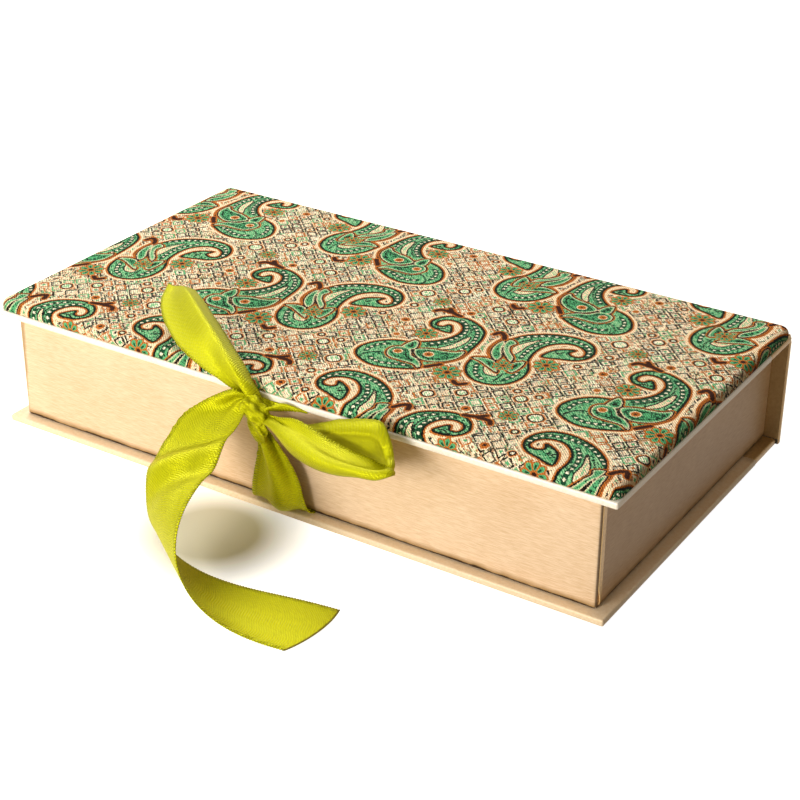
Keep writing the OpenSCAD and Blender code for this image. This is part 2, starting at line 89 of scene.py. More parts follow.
def make_object(name, points, faces, closed=False):
    """Mesh object from an array of points and a list of faces. A closed skin whose signed volume
    is negative is turned inside out, so its faces always point outwards."""
    mesh = bpy.data.meshes.new(name)
    mesh.from_pydata(points.reshape(-1, 3).tolist(), [], faces)
    if closed:
        corners = [(f[0], f[i], f[i + 1]) for f in faces for i in range(1, len(f) - 1)]
        a, b, c = (points.reshape(-1, 3)[np.array(corners)[:, k]] for k in range(3))
        if np.einsum("ij,ij->i", a, np.cross(b, c)).sum() < 0:
            mesh.flip_normals()
    mesh.polygons.foreach_set("use_smooth", [True] * len(mesh.polygons))
    piece = bpy.data.objects.new(name, mesh)
    bpy.context.scene.collection.objects.link(piece)
    return piece


def grid_faces(rows, columns, around=False):
    """Quads between neighbouring rows and columns. Around closes each row on itself."""
    index = np.arange(rows * columns).reshape(rows, columns)
    if around:
        index = np.concatenate([index, index[:, :1]], axis=1)
    quads = np.stack([index[:-1, :-1], index[:-1, 1:], index[1:, 1:], index[1:, :-1]], axis=-1)
    return quads.reshape(-1, 4).tolist()


def skin(name, rings):
    """Closed skin through rings of equal count, with a flat cap on the first and on the last."""
    rows, columns = rings.shape[:2]
    faces = grid_faces(rows, columns, True)
    faces.append(list(range(columns))[::-1])
    faces.append(list(range((rows - 1) * columns, rows * columns)))
    return make_object(name, rings, faces, closed=True)


def corner_arcs(half_a, half_b, radius, steps=6):
    """Points on a rounded rectangle round the origin, anticlockwise: a quarter circle of as many
    points as steps says at each corner, and none between the corners."""
    turn = np.linspace(0, np.pi / 2, steps)
    parts = []
    for number, (a, b) in enumerate([(1, 1), (-1, 1), (-1, -1), (1, -1)]):
        angle = turn + number * np.pi / 2
        parts.append(np.stack([a * (half_a - radius) + radius * np.cos(angle),
                               b * (half_b - radius) + radius * np.sin(angle)], axis=1))
    return np.concatenate(parts)


def covered_plate(name, low, high, edge, rounded=(True, True)):
    """Skin of a covered board that lies along Y. Its cross-section in X and Z is a rounded
    rectangle, and at a rounded end it is drawn in along a quarter circle."""
    half = (np.array(high) - low) / 2
    middle = (np.array(high) + low) / 2
    turn = np.linspace(0, np.pi / 2, 5)
    round_end = edge * np.stack([1 - np.cos(turn), 1 - np.sin(turn)])
    front, back = (round_end if is_round else np.zeros((2, 1)) for is_round in rounded)
    flat = np.linspace(low[1] + edge * rounded[0], high[1] - edge * rounded[1], STATIONS)[1:-1]
    places = np.concatenate([low[1] + front[0], flat, high[1] - back[0, ::-1]])
    insets = np.concatenate([front[1], 0 * flat, back[1, ::-1]])
    rings = []
    for place, drawn in zip(places, insets):
        section = corner_arcs(half[0] - drawn, half[2] - drawn, max(edge - drawn, edge / 20))
        rings.append(np.stack([middle[0] + section[:, 0], np.full(len(section), place),
                               middle[2] + section[:, 1]], axis=1))
    return skin(name, np.array(rings))


def add_node(tree, kind, inputs=(), out=0, **settings):
    """Adds a shader node, sets its settings, joins or sets its inputs, and returns one output."""
    new = tree.nodes.new("ShaderNode" + kind)
    for key, value in settings.items():
        setattr(new, key, value)
    for key, value in dict(inputs).items():
        if isinstance(value, bpy.types.NodeSocket):
            tree.links.new(value, new.inputs[key])
        else:
            new.inputs[key].default_value = value
    return new.outputs[out]


def calc(tree, operation, *values):
    """One step of arithmetic on numbers or sockets."""
    return add_node(tree, "Math", enumerate(values), operation=operation)


def times(tree, a, b):
    """Product of two numbers or sockets."""
    return calc(tree, "MULTIPLY", a, b)


def ramp(tree, value, low, high, least=0.0, most=1.0):
    """Value mapped from between low and high to between least and most, clamped."""
    return add_node(tree, "MapRange", {0: value, 1: low, 2: high, 3: least, 4: most})


def blend_colours(tree, share, first, second):
    """Mixes two colours by a share from 0 to 1."""
    colours = [c if isinstance(c, bpy.types.NodeSocket) else (*c, 1) for c in (first, second)]
    return add_node(tree, "Mix", {0: share, 6: colours[0], 7: colours[1]}, 2, data_type="RGBA")


def darker(colour, share):
    """A colour at a share of its strength."""
    return tuple(share * c for c in colour)


def new_material(name):
    """Empty node material, its tree and its Principled shader."""
    material = bpy.data.materials.new(name)
    material.use_nodes = True
    tree = material.node_tree
    return material, tree, tree.nodes["Principled BSDF"]


def object_place(tree):
    """Place on the piece in its own coordinates, in metres."""
    return add_node(tree, "TexCoord", out="Object")


def noise(tree, place, scale, detail, stretch=(1, 1, 1)):
    """Noise at scale per metre over a place, stretched along its axes."""
    scaled = add_node(tree, "Mapping", {0: place, 3: stretch})
    return add_node(tree, "TexNoise", {0: scaled, 2: scale, 3: detail})


def bump(tree, shader, height, distance, strength):
    """Joins a height in shares of distance to the shader's normal."""
    normal = add_node(tree, "Bump", {"Height": height, "Distance": distance, "Strength": strength})
    tree.links.new(normal, shader.inputs["Normal"])


def paper(name, colour, deep, metallic, roughness, streak=(1, 1, 1), streak_scale=900, gloss=0.5):
    """Covering paper. Its colour shifts between two tones in broad clouds and along fine fibres
    that are stretched by streak, and the fibres also stand up a little."""
    material, tree, shader = new_material(name)
    place = object_place(tree)
    clouds = noise(tree, place, CLOUD_SCALE, 2)
    fibres = noise(tree, place, streak_scale, 4, streak)
    specks = noise(tree, place, SPECK_SCALE, 2)
    share = calc(tree, "MULTIPLY_ADD", ramp(tree, fibres, 0.3, 0.7), FIBRE_SHARE,
                 times(tree, ramp(tree, clouds, 0.3, 0.7), 1 - FIBRE_SHARE))
    toned = blend_colours(tree, share, deep, colour)
    speckled = blend_colours(tree, times(tree, ramp(tree, specks, 0.62, 0.72), 0.25), toned,
                             darker(deep, 0.6))
    tree.links.new(speckled, shader.inputs["Base Color"])
    shader.inputs["Metallic"].default_value = metallic
    shader.inputs["Specular IOR Level"].default_value = gloss
    tree.links.new(calc(tree, "MULTIPLY_ADD", fibres, 0.2, roughness - 0.1),
                   shader.inputs["Roughness"])
    bump(tree, shader, calc(tree, "ADD", fibres, times(tree, specks, 0.5)), PAPER_RELIEF, 0.5)
    return material


def dress(piece, material, body, slot, *replaced):
    """Gives a piece its material and body, and hides the CAD nodes that it stands for. Its slot is not
    used.
    """
    piece.data.materials.append(material)
    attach(piece, body)
    if replaced:
        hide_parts(*replaced)


pearl_paper = paper("pearl_paper", PEARL, PEARL_DEEP, 0.1, 0.5, gloss=0.15)
low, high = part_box("base_cover")
base_paper = covered_plate("base_paper", low, high, BOARD_EDGE, (True, False))
dress(base_paper, pearl_paper, "case", "champagne_paper", "base_cover")

# Gold strip. One strip of deep gold paper joins base, spine and lid: it laps over the back of the
# base, is drawn round the spine board, bends over the crease and laps over the back of the lid.
STRIP_GOLD = (0.50, 0.31, 0.11)
STRIP_DEEP = (0.36, 0.21, 0.07)
STRIP_SINK = 0.1 * MM

strip_paper = paper("strip_paper", STRIP_GOLD, STRIP_DEEP, 0.45, 0.42)
low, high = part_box("base_hinge_lap")
sink = np.array([STRIP_SINK, 0, STRIP_SINK])
base_strip = covered_plate("base_strip", np.array(low) + sink, np.array(high) - sink, BOARD_EDGE,
                           (False, True))
dress(base_strip, strip_paper, "case", "gold_strip_paper", "base_hinge_lap")


def standing_plate(name, low, high, edge):
    """Covered board that stands up: a lying one with its Y and Z exchanged."""
    swap = [0, 2, 1]
    piece = covered_plate(name, np.array(low)[swap], np.array(high)[swap], edge)
    points = np.empty(len(piece.data.vertices) * 3)
    piece.data.vertices.foreach_get("co", points)
    piece.data.vertices.foreach_set("co", points.reshape(-1, 3)[:, swap].ravel())
    piece.data.flip_normals()
    return piece


low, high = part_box("spine_wrap")
spine_paper = standing_plate("spine_paper", low, high, BOARD_EDGE)
dress(spine_paper, strip_paper, "case", "gold_strip_paper", "spine_wrap")

# Tray. Four greyboard walls and a floor, covered in brushed gold paper that is turned over the
# rim and under the floor. The paper's bends are a little round, and its streaks run level.
TRAY_CORNER = 1.1 * MM
TRAY_FOOT = 1.0 * MM
TRAY_GOLD = (0.88, 0.66, 0.44)
TRAY_DEEP = (0.66, 0.43, 0.23)
# Painted shade colours: a shaded gold for the foot and the left bend, and a near black for the crease and
# the seam.
SHADED_GOLD = (0.34, 0.19, 0.06)
SHADE = (0.05, 0.025, 0.01)
WALL = 2.6 * MM
RIM_TURN = 12 * MM
PAPER = 0.25 * MM
ARC = 7
FLAT = 60


def outline(low, high, radius, inset):
    """Rounded rectangle in X and Y drawn in by inset, anticlockwise, with points along its flats."""
    half = (np.array(high) - low)[:2] / 2
    middle = (np.array(high) + low)[:2] / 2
    arcs = corner_arcs(half[0] - inset, half[1] - inset, max(radius - inset, radius / 5), ARC)
    arcs = arcs.reshape(4, ARC, 2)
    share = np.linspace(0, 1, FLAT)[1:-1, None]
    flats = arcs[:, -1:] + share * (np.roll(arcs, -1, axis=0)[:, :1] - arcs[:, -1:])
    return middle + np.concatenate([arcs, flats], axis=1).reshape(-1, 2)


def quarter(start, end, bulge, steps=6):
    """Quarter ellipse in (inset, height) from start to end, whose corner is at bulge."""
    turn = np.linspace(0, np.pi / 2, steps)[:, None]
    start, end, bulge = np.array([start, end, bulge])
    return start + (bulge - start) * np.sin(turn) + (end - bulge) * (1 - np.cos(turn))


def thicken(piece, thickness, offset):
    """Gives a sheet its thickness, on the side of it or about it that offset says."""
    wall = piece.modifiers.new("thickness", "SOLIDIFY")
    wall.thickness = thickness
    wall.offset = offset


def split(tree, vector):
    """The three parts of a vector."""
    return tuple(add_node(tree, "SeparateXYZ", {0: vector}).node.outputs)


low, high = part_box("tray_wrap")
bottom, rim = low[2], high[2]
tray_profile = np.concatenate([
    [(RIM_TURN, bottom)],
    quarter((TRAY_FOOT, bottom), (0, bottom + TRAY_FOOT), (0, bottom)),
    [(0, bottom + s * (rim - bottom)) for s in (0.25, 0.5, 0.75)],
    quarter((0, rim - BOARD_EDGE), (BOARD_EDGE, rim), (0, rim)),
    quarter((WALL - BOARD_EDGE, rim), (WALL, rim - BOARD_EDGE), (WALL, rim)),
    [(WALL, rim - RIM_TURN)]])
tray_rings = np.array([np.insert(outline(low, high, TRAY_CORNER, inset), 2, height, axis=1)
                       for inset, height in tray_profile])
tray_paper = make_object("tray_paper", tray_rings, grid_faces(*tray_rings.shape[:2], True))
tray_paper.data.flip_normals()
thicken(tray_paper, PAPER, -1)
brushed_paper = paper("brushed_paper", TRAY_GOLD, TRAY_DEEP, 0.04, 0.45, streak=(0.08, 0.08, 1),
                      streak_scale=3000, gloss=0.15)

# Painted shade: the paper is darkened along its foot and up its rounded left bend, with a near
# black painted shadow in the crease where it meets the base, and it is dark in the seam at its
# front right corner, a joint with painted shade in it. Each mark fades over about a millimetre.
tree = brushed_paper.node_tree
shader = tree.nodes["Principled BSDF"]
place = object_place(tree)
place_x, place_y, place_z = split(tree, place)
uneven = calc(tree, "MULTIPLY_ADD", noise(tree, place, 160, 2), 1.4 * MM, -0.7 * MM)
above_foot = calc(tree, "SUBTRACT", calc(tree, "ADD", place_z, uneven), bottom)
from_left = calc(tree, "SUBTRACT", calc(tree, "ADD", place_x, uneven), low[0])
left_reach = calc(tree, "MULTIPLY_ADD", above_foot, -0.05, from_left)
from_right = calc(tree, "SUBTRACT", high[0], place_x)
from_front = calc(tree, "SUBTRACT", place_y, low[1])
seam = times(tree, ramp(tree, from_right, 0.5 * MM, 0.2 * MM),
             ramp(tree, from_front, 1.1 * MM, 0.7 * MM))
tone = shader.inputs["Base Color"].links[0].from_socket
# Painted shade over the paper's own tone: along the foot, up the left bend, in the crease and in the seam.
for share, shade in (
        (times(tree, ramp(tree, above_foot, 3 * MM, 1.2 * MM), 0.85), SHADED_GOLD),
        (times(tree, ramp(tree, left_reach, 1.2 * MM, 0.2 * MM), 0.7), SHADED_GOLD),
        (ramp(tree, above_foot, 1.1 * MM, 0.7 * MM), SHADE),
        (times(tree, seam, 0.75), SHADE)):
    tone = blend_colours(tree, share, tone, shade)
tree.links.new(tone, shader.inputs["Base Color"])
dress(tray_paper, brushed_paper, "case", "gold_paper", "tray_wrap")

# Seam of the tray's paper. The wrap ends at the front right corner in a narrow lap, glued over
# its other end. The lap stands a little proud and springs open at its rounded lower end.
LAP = 2.6 * MM
LAP_IN = 0.8 * MM
LAP_PROUD = 0.2 * MM
LAP_OPEN = 0.7 * MM
LAP_THICK = 0.3 * MM
LAP_TOP = 2.5 * MM
LAP_FOOT = 0.7 * MM
LAP_ROWS = 60
LAP_COLUMNS = 9

lap_down = np.linspace(0, 1, LAP_ROWS)[:, None]
lap_across = np.linspace(-1, 1, LAP_COLUMNS)[None, :]
lap_wide = LAP / 2 * np.sqrt(1 - np.clip((lap_down - 0.93) / 0.072, 0, 1) ** 2)
lap_open = LAP_OPEN * np.exp(-((lap_down - 0.92) / 0.07) ** 2) * (1 - lap_across) / 2
lap_points = np.stack(np.broadcast_arrays(
    high[0] + LAP_PROUD + lap_open, low[1] + LAP_IN + LAP / 2 + lap_wide * lap_across,
    rim - LAP_TOP - lap_down * (rim - bottom - LAP_TOP - LAP_FOOT)), axis=-1)
tray_lap = make_object("tray_lap", lap_points, grid_faces(LAP_ROWS, LAP_COLUMNS))
thicken(tray_lap, LAP_THICK, 0)
lap_paper = paper("lap_paper", (0.86, 0.58, 0.25), (0.60, 0.36, 0.13), 0.3, 0.4)
dress(tray_lap, lap_paper, "case", "gold_paper")

# Inside. The walls are lined with cream paper, a covered card lies on the floor, and three
# covered strips part the cutlery. The boards themselves are grey, and the stays are kraft paper.
lining = paper("lining", (0.86, 0.79, 0.64), (0.80, 0.72, 0.56), 0.0, 0.65)
greyboard = paper("greyboard", (0.42, 0.40, 0.36), (0.30, 0.28, 0.25), 0.0, 0.85)
kraft = paper("kraft", (0.52, 0.38, 0.22), (0.44, 0.31, 0.17), 0.0, 0.8)
inner_gold = paper("inner_gold", (0.50, 0.34, 0.15), (0.40, 0.26, 0.10), 0.4, 0.45)
FINISHES = [
    (lining, ["tray_lining", "floor_pad", "divider_front", "divider_middle", "divider_back",
              "lid_liner"]),
    (greyboard, ["base_board", "spine_board", "tray_floor", "tray_front_wall", "tray_back_wall",
                 "tray_left_wall", "tray_right_wall", "lid_board", "pad_card"]),
    (kraft, ["corner_stays"]),
    (inner_gold, ["spine_liner"])]
for finish, names in FINISHES:
    for node_name in names:
        nodes[node_name].data.materials.clear()
        nodes[node_name].data.materials.append(finish)

# Lid. A greyboard plate covered like the base, cream in front, with the gold strip's upper end
# lapped over its back.
low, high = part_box("lid_cover")
cream_paper = paper("cream_paper", (0.95, 0.88, 0.76), (0.88, 0.76, 0.58), 0.1, 0.5)
lid_paper = covered_plate("lid_paper", low, high, BOARD_EDGE, (True, False))
dress(lid_paper, cream_paper, "lid", "champagne_paper", "lid_cover")
low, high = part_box("lid_hinge_lap")
lap_low = np.array([low[0], low[1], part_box("lid_cover")[0][2]]) + sink
lap_high = np.array([high[0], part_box("lid_board")[1][1] + 0.3 * MM, high[2]]) - sink
lid_strip = covered_plate("lid_strip", lap_low, lap_high, BOARD_EDGE, (False, True))
dress(lid_strip, strip_paper, "lid", "gold_strip_paper", "lid_hinge_lap")

# Crease. The free stretch of the gold strip between the spine and the lid is the hinge: it bends
# over a quarter circle when the box is closed.
CREASE = 3 * MM
CREASE_ROWS = 13
CREASE_COLUMNS = 60

crease_turn = np.linspace(0, np.pi / 2, CREASE_ROWS)[:, None]
spine_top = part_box("spine_wrap")[1]
crease_half = spine_top[0] - BOARD_EDGE
crease_points = np.stack(np.broadcast_arrays(
    np.linspace(-crease_half, crease_half, CREASE_COLUMNS)[None, :],
    lap_high[1] + CREASE * np.cos(crease_turn), spine_top[2] + CREASE * np.sin(crease_turn)), axis=-1)
crease_paper = make_object("crease_paper", crease_points, grid_faces(CREASE_ROWS, CREASE_COLUMNS))
thicken(crease_paper, PAPER, -1)
crease_paper.data.materials.append(strip_paper)
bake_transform(crease_paper)

# Padded panel. A card with a thin foam is covered in a cotton cloth woven with a paisley
# pattern, which is pulled over the edge and glued under the card.
PAD_CORNER = 4 * MM
PAD_ROUND = 2.64 * MM
PAD_CROWN = 0.7 * MM
CROWN_REACH = 43 * MM
CLOTH_CELL = 0.8 * MM
CLOTH_FOLD = 3 * MM

pad_low, pad_high = (np.array(corner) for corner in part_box("lid_fabric"))
pad_edge_z = pad_high[2] - PAD_CROWN
pad_foot_z = pad_low[2]


def crown(x, y, low, high, height):
    """Height of the dome: it rises from the panel's edge along a parabola in both directions."""
    rest = [np.clip(1 - np.minimum(p - a, b - p) / CROWN_REACH, 0, 1)
            for p, a, b in ((x, low[0], high[0]), (y, low[1], high[1]))]
    return height * (1 - rest[0] ** 2) * (1 - rest[1] ** 2)


def pulled_cloth(low, high, foot, top, round_edge, fold, cell):
    """Grid of a cloth pulled over a panel. Over the flat the cloth's own X and Y are kept. Past
    the flat's rectangle the cloth runs level, round the edge, down and in under the panel, by
    its distance from that rectangle, and in the corners that distance turns through a quarter."""
    turn = np.linspace(0, np.pi / 2, 9)
    drop = top - round_edge - foot
    level = PAD_CORNER - round_edge
    run = np.concatenate([[0, level * 0.5], level + round_edge * turn,
                          level + round_edge * np.pi / 2 + drop * np.array([0.5, 0.9, 1.1]),
                          level + round_edge * np.pi / 2 + drop + fold * np.array([0.3, 1])])
    out = np.concatenate([[0, level * 0.5], level + round_edge * np.sin(turn),
                          PAD_CORNER - 0.1 * MM * np.array([0, 0.5, 2.5]),
                          PAD_CORNER - fold * np.array([0.3, 0.85])])
    sunk = np.concatenate([[0, 0], round_edge * (1 - np.cos(turn)),
                           round_edge + drop * np.array([0.5, 0.85, 0.98]),
                           round_edge + drop * np.array([1, 1])])
    flat_low, flat_high = low[:2] + PAD_CORNER, high[:2] - PAD_CORNER
    steps = np.linspace(0, run[-1], int(run[-1] / cell * 1.6))[1:]
    lines = []
    for a, b in zip(flat_low, flat_high):
        flat = np.linspace(a, b, int((b - a) / cell))
        lines.append(np.concatenate([a - steps[::-1], flat, b + steps]))
    x, y = np.meshgrid(*lines, indexing="ij")
    inner_x = np.clip(x, flat_low[0], flat_high[0])
    inner_y = np.clip(y, flat_low[1], flat_high[1])
    over_x, over_y = np.abs(x - inner_x), np.abs(y - inner_y)
    distance = np.maximum(over_x, over_y)
    share = np.minimum(over_x, over_y) / np.maximum(distance, 1e-9)
    angle = np.where(over_x >= over_y, share * np.pi / 4, np.pi / 2 - share * np.pi / 4)
    reach = np.interp(distance, run, out)
    across = inner_x + reach * np.cos(angle) * np.sign(x - inner_x)
    along = inner_y + reach * np.sin(angle) * np.sign(y - inner_y)
    height = top - np.interp(distance, run, sunk)
    height += crown(across, along, low, high, PAD_CROWN) * (height > foot + round_edge / 4)
    return np.stack([across, along, height], axis=-1), x, y


cloth_points, cloth_x, cloth_y = pulled_cloth(pad_low, pad_high, pad_foot_z, pad_edge_z, PAD_ROUND,
                                              CLOTH_FOLD, CLOTH_CELL)
paisley_cloth = make_object("paisley_cloth", cloth_points, grid_faces(*cloth_points.shape[:2]))
paisley_cloth.data.flip_normals()

# The paisley pattern. Two curled drops stand side by side in a row, and the next row holds their
# mirror image. Places are in millimetres on the lid, for the row through its middle. A shape's
# distance is worked out up to NEAR from it, and what lies further off counts as FAR.
PITCH = 82.2
ROW = 66.0
MIRROR = 4.3
NEAR = 7.0
FAR = 30.0
BLOOM_FAR = 9.0
DROP = [(20.5, -20), (15, -22), (10.5, -26), (8, -31), (7.8, -35), (9.5, -38.5), (13, -41),
        (18, -42.7), (23, -42.3), (28, -40.5), (32.5, -38), (34.5, -36.5), (36, -32.5), (40, -27.5),
        (42.5, -23), (43, -19.5), (42.3, -10), (41.5, -4), (39.5, 1.5), (36.5, 4.5), (32.5, 6.8),
        (28, 8.2), (23.5, 7.5), (20.5, 5.5), (18.5, 2), (18.2, -1), (19.8, -3.8), (22.5, -5.3),
        (28.8, -5.5), (27, -1.2), (25.2, 0.2), (24, -2.5), (21.3, -2.5), (20.3, -0.5), (20.8, 2),
        (22.5, 3.6), (25, 4.2), (28, 3.5), (30.5, 1.5), (31.9, -1.5), (32.2, -5), (31.3, -9),
        (29.5, -12.5), (27, -15.5), (24.5, -17.5)]
HOOK = [(46.5, -20), (47.5, -25), (50, -29.5), (53.5, -32.5), (58, -33.8), (62.5, -33),
        (66, -30.5), (68, -27), (68.8, -22), (68, -17), (66, -13), (64.3, -10.5), (63.2, -6),
        (62.8, -1), (63.5, 3.5), (65.5, 7), (68, 9.2), (71, 10.5), (75, 10), (78.3, 7.5),
        (79.3, 4), (78, 2), (75.5, 1.7), (73.3, 3.5), (74.5, 6.6), (70, 4.5), (67.5, 1.5),
        (66.5, -4.5), (73, -2.5), (77.5, -1), (80.5, 2), (81.5, 6), (80.3, 10.5), (77, 14.2),
        (72, 15.8), (67, 15.5), (62, 14), (57, 11), (53, 7), (50.5, 2), (48, 0.5), (47.3, -4),
        (47.8, -9), (49.5, -12.5), (52, -15), (49, -16), (46.3, -18)]
SLIVERS = [[(37, -4.5), (38, -8), (37.6, -13), (35.5, -17.5), (32, -19.3), (34.5, -14.5),
            (35.8, -9)],
           [(60, 7.5), (57.5, 4), (55.3, 0), (54.6, -4), (57, -8.7), (58, -5), (58, 0), (59, 4)],
           [(53, -21.5), (56, -22.5), (60, -25), (60, -27), (56, -26.8)]]
LEAVES = [[(41.3, -15.8), (42.2, -19), (41.7, -23), (39.5, -26.5), (36, -29), (32, -30), (28, -28),
           (25.5, -24), (30, -20.8), (35, -19.7), (39, -18.2)],
          [(21.8, -17.4), (24.2, -19.5), (25.3, -23.5), (23.5, -25.5), (20.3, -24.3), (20.6, -20.5)],
          [(34.4, -36.6), (33.7, -33.5), (30.5, -30.5), (27, -29), (24.5, -25.5), (20, -24.8),
           (17.4, -27.5), (18, -31.5), (21, -34.2), (26, -34.4), (31, -34.5)],
          [(50.4, 1.8), (50.4, -3), (53, -8), (56.5, -12), (59.5, -14.5), (58.6, -10.8), (55, -7),
           (53, -3), (54, 0)],
          [(48.6, -0.5), (48, -5), (49, -10), (51.5, -14), (54.5, -15.8), (54.5, -12), (51.5, -7),
           (50, -2)],
          [(46, -18.6), (50, -16.3), (54, -16.6), (57, -20), (59.5, -24.3), (54.5, -22),
           (50, -19.6)],
          [(63.6, -11.4), (61, -13.5), (59.6, -16.8), (61.2, -20.3), (63.8, -21.5), (64.6, -16)]]
VEINS = [[(34.5, 1), (35.6, -3), (35.4, -7), (34, -11.5), (31.5, -15.5), (28, -19.3)],
         [(12, -40), (11.8, -37), (14, -34), (17, -32.5), (20, -35.7), (26, -35.6), (33, -37)],
         [(22.7, -5), (25.5, -3.5), (27.5, -4)],
         [(61.5, -23.5), (62, -27), (61.5, -31)],
         [(57, 6), (54, 1), (53.5, -3)], [(68.5, 2.5), (70.5, 0.5), (71.5, 3)]]
DASHED = [[(52, 4.5), (56, 8.5), (61, 12), (66, 13.3), (71, 13.2), (76, 12), (79, 9), (80.3, 5)],
          [(60.8, -9.5), (60.2, -5), (60.2, 0), (61.5, 5), (64.5, 9.5)],
          [(27.3, -17.8), (31, -13.3), (33, -8.8), (33.7, -4), (32.8, 0), (30.3, 3.8), (27, 6)],
          [(39.5, -16.5), (40.3, -10), (39.2, -4), (36.8, 1), (33, 4.6)],
          [(14.8, -25.5), (12.3, -28), (11, -31.5), (11, -34.5)],
          [(15, -38), (19, -39.6), (23, -38.9), (27, -37.3), (30, -36.8)],
          [(50.2, -22), (51.8, -26), (54, -29.3), (57.5, -31.2)],
          [(65.7, -20), (65.5, -24), (64.3, -28)]]
EYES = [(21, -28.7, 1.7), (31.7, -25, 1.9), (26.9, 13.1, 2), (9.1, -4.7, 2), (13, -17, 1.5)]
BLOOMS = [(71.3, -9.7, 4.8), (21.9, -10.8, 4.4), (44.7, -33.6, 5.2), (58.6, -18.2, 3.6),
          (12.4, 16.4, 3.4)]
RINGS = [(85.8, 19.8, 2.9), (76.3, -36.9, 2.3), (72.5, -32.5, 1.4), (81, -32.5, 1.4),
         (81, -4.5, 1.3), (43.5, 15.3, 2.4), (57, -44, 2.2), (5, 8, 1.5)]
HOOKLETS = [[(48.3, 0.8), (47, 3.2), (44.5, 5), (43.2, 2.2)], [(25, 8.8), (21, 10), (18.3, 12.5)],
            [(20, 9.8), (16, 10), (14.5, 8)], [(50, -38), (52.4, -39.5), (54.5, -37.5)],
            [(36, -34), (39.5, -29.5)]]


def smooth(points, steps, closed=False):
    """Smooth curve through points, with steps between each pair: between two points it is the
    cubic whose slope at each is half the way from the point before to the point after."""
    p = np.asarray(points, float)
    if closed:
        a, b, c, d = (np.roll(p, 1 - k, axis=0) for k in range(4))
    else:
        padded = np.concatenate([p[:1], p, p[-1:]])
        a, b, c, d = (padded[k:len(p) - 1 + k] for k in range(4))
    t = (np.arange(steps) / steps).reshape(1, steps, *[1] * (p.ndim - 1))
    a, b, c, d = (q[:, None] for q in (a, b, c, d))
    curve = (b + (c - a) * t / 2 + (2 * a - 5 * b + 4 * c - d) * t ** 2 / 2
             + (3 * b - a - 3 * c + d) * t ** 3 / 2)
    curve = curve.reshape(-1, *p.shape[1:])
    return curve if closed else np.concatenate([curve, p[-1:]])


def spaced(line, pitch):
    """Points at even steps along a smooth line."""
    curve = smooth(line, 8)
    length = np.concatenate([[0], np.cumsum(np.hypot(*np.diff(curve, axis=0).T))])
    steps = np.arange(pitch / 2, length[-1], pitch)
    return list(zip(*(np.interp(steps, length, curve[:, k]) for k in (0, 1))))


def line_distance(x, y, line, closed):
    """Distance of each point from a line of straight pieces. Inside a closed line it is
    negative: a point is inside where a level ray from it crosses the line an odd number of
    times."""
    start = np.asarray(line)
    end = np.roll(start, -1, axis=0)
    if not closed:
        start, end = start[:-1], end[:-1]
    nearest = np.full(x.shape, FAR)
    inside = np.zeros(x.shape, bool)
    for (ax, ay), (bx, by) in zip(start, end):
        length = (bx - ax) ** 2 + (by - ay) ** 2
        share = np.clip(((x - ax) * (bx - ax) + (y - ay) * (by - ay)) / length, 0, 1)
        nearest = np.minimum(nearest, np.hypot(x - ax - share * (bx - ax),
                                               y - ay - share * (by - ay)))
        if closed and ay != by:
            crosses = ((ay > y) != (by > y)) & (x < ax + (y - ay) * (bx - ax) / (by - ay))
            inside ^= crosses
    return np.where(inside, -nearest, nearest)


def repeated(x, y, centre):
    """For each row of the pattern, the cloth's coordinates in the first row's own frame, brought
    to within half a pitch of centre. Every second row is the mirror image."""
    for row in (-1, 0, 1):
        place = x if row == 0 else 2 * MIRROR - x
        yield centre + np.mod(place - centre + PITCH / 2, PITCH) - PITCH / 2, y - ROW * row


def field(shapes, distance):
    """Smallest distance from any of the shapes, in any row, in millimetres."""
    x, y = cloth_x.ravel() / MM, cloth_y.ravel() / MM
    result = np.full(x.shape, FAR)
    for shape in shapes:
        box = np.atleast_2d(np.asarray(shape, float))[:, :2]
        for px, py in repeated(x, y, box[:, 0].mean()):
            near = ((px > box[:, 0].min() - NEAR) & (px < box[:, 0].max() + NEAR)
                    & (py > box[:, 1].min() - NEAR) & (py < box[:, 1].max() + NEAR))
            result[near] = np.minimum(result[near], distance(px[near], py[near], shape))
    return result


def closed_distance(x, y, shape):
    """Distance from the edge of a rounded area, negative inside it."""
    return line_distance(x, y, smooth(shape, 3, True), True)


def open_distance(x, y, shape):
    """Distance from a curved line."""
    return line_distance(x, y, smooth(shape, 3), False)


def round_distance(x, y, shape):
    """Distance from a disc of a middle and a radius, or from a point."""
    return np.hypot(x - shape[0], y - shape[1]) - (shape[2] if len(shape) > 2 else 0)


def eight_sided(x, y, shape):
    """Distance from the edge of an eight-sided area of a middle and a reach, negative inside."""
    x, y = np.abs(x - shape[0]), np.abs(y - shape[1])
    return np.maximum(np.maximum(x, y), (x + y) * 0.75) - shape[2]


def bloom_places():
    """Place in the nearest bloom, as shares of its radius, and the distance from its middle."""
    x, y = cloth_x.ravel() / MM, cloth_y.ravel() / MM
    result = np.full((len(x), 3), BLOOM_FAR)
    for cx, cy, radius in BLOOMS:
        for px, py in repeated(x, y, cx):
            local = np.stack([px - cx, py - cy], axis=1) / radius
            reach = np.hypot(*local.T)
            nearer = reach < result[:, 2]
            result[nearer, :2] = local[nearer]
            result[nearer, 2] = reach[nearer]
    return result


def store(piece, name, values):
    """Stores one number, or three, at each vertex of a piece."""
    kind = "FLOAT" if values.ndim == 1 else "FLOAT_VECTOR"
    layer = piece.data.attributes.new(name, kind, "POINT")
    layer.data.foreach_set("value" if kind == "FLOAT" else "vector", values.ravel())


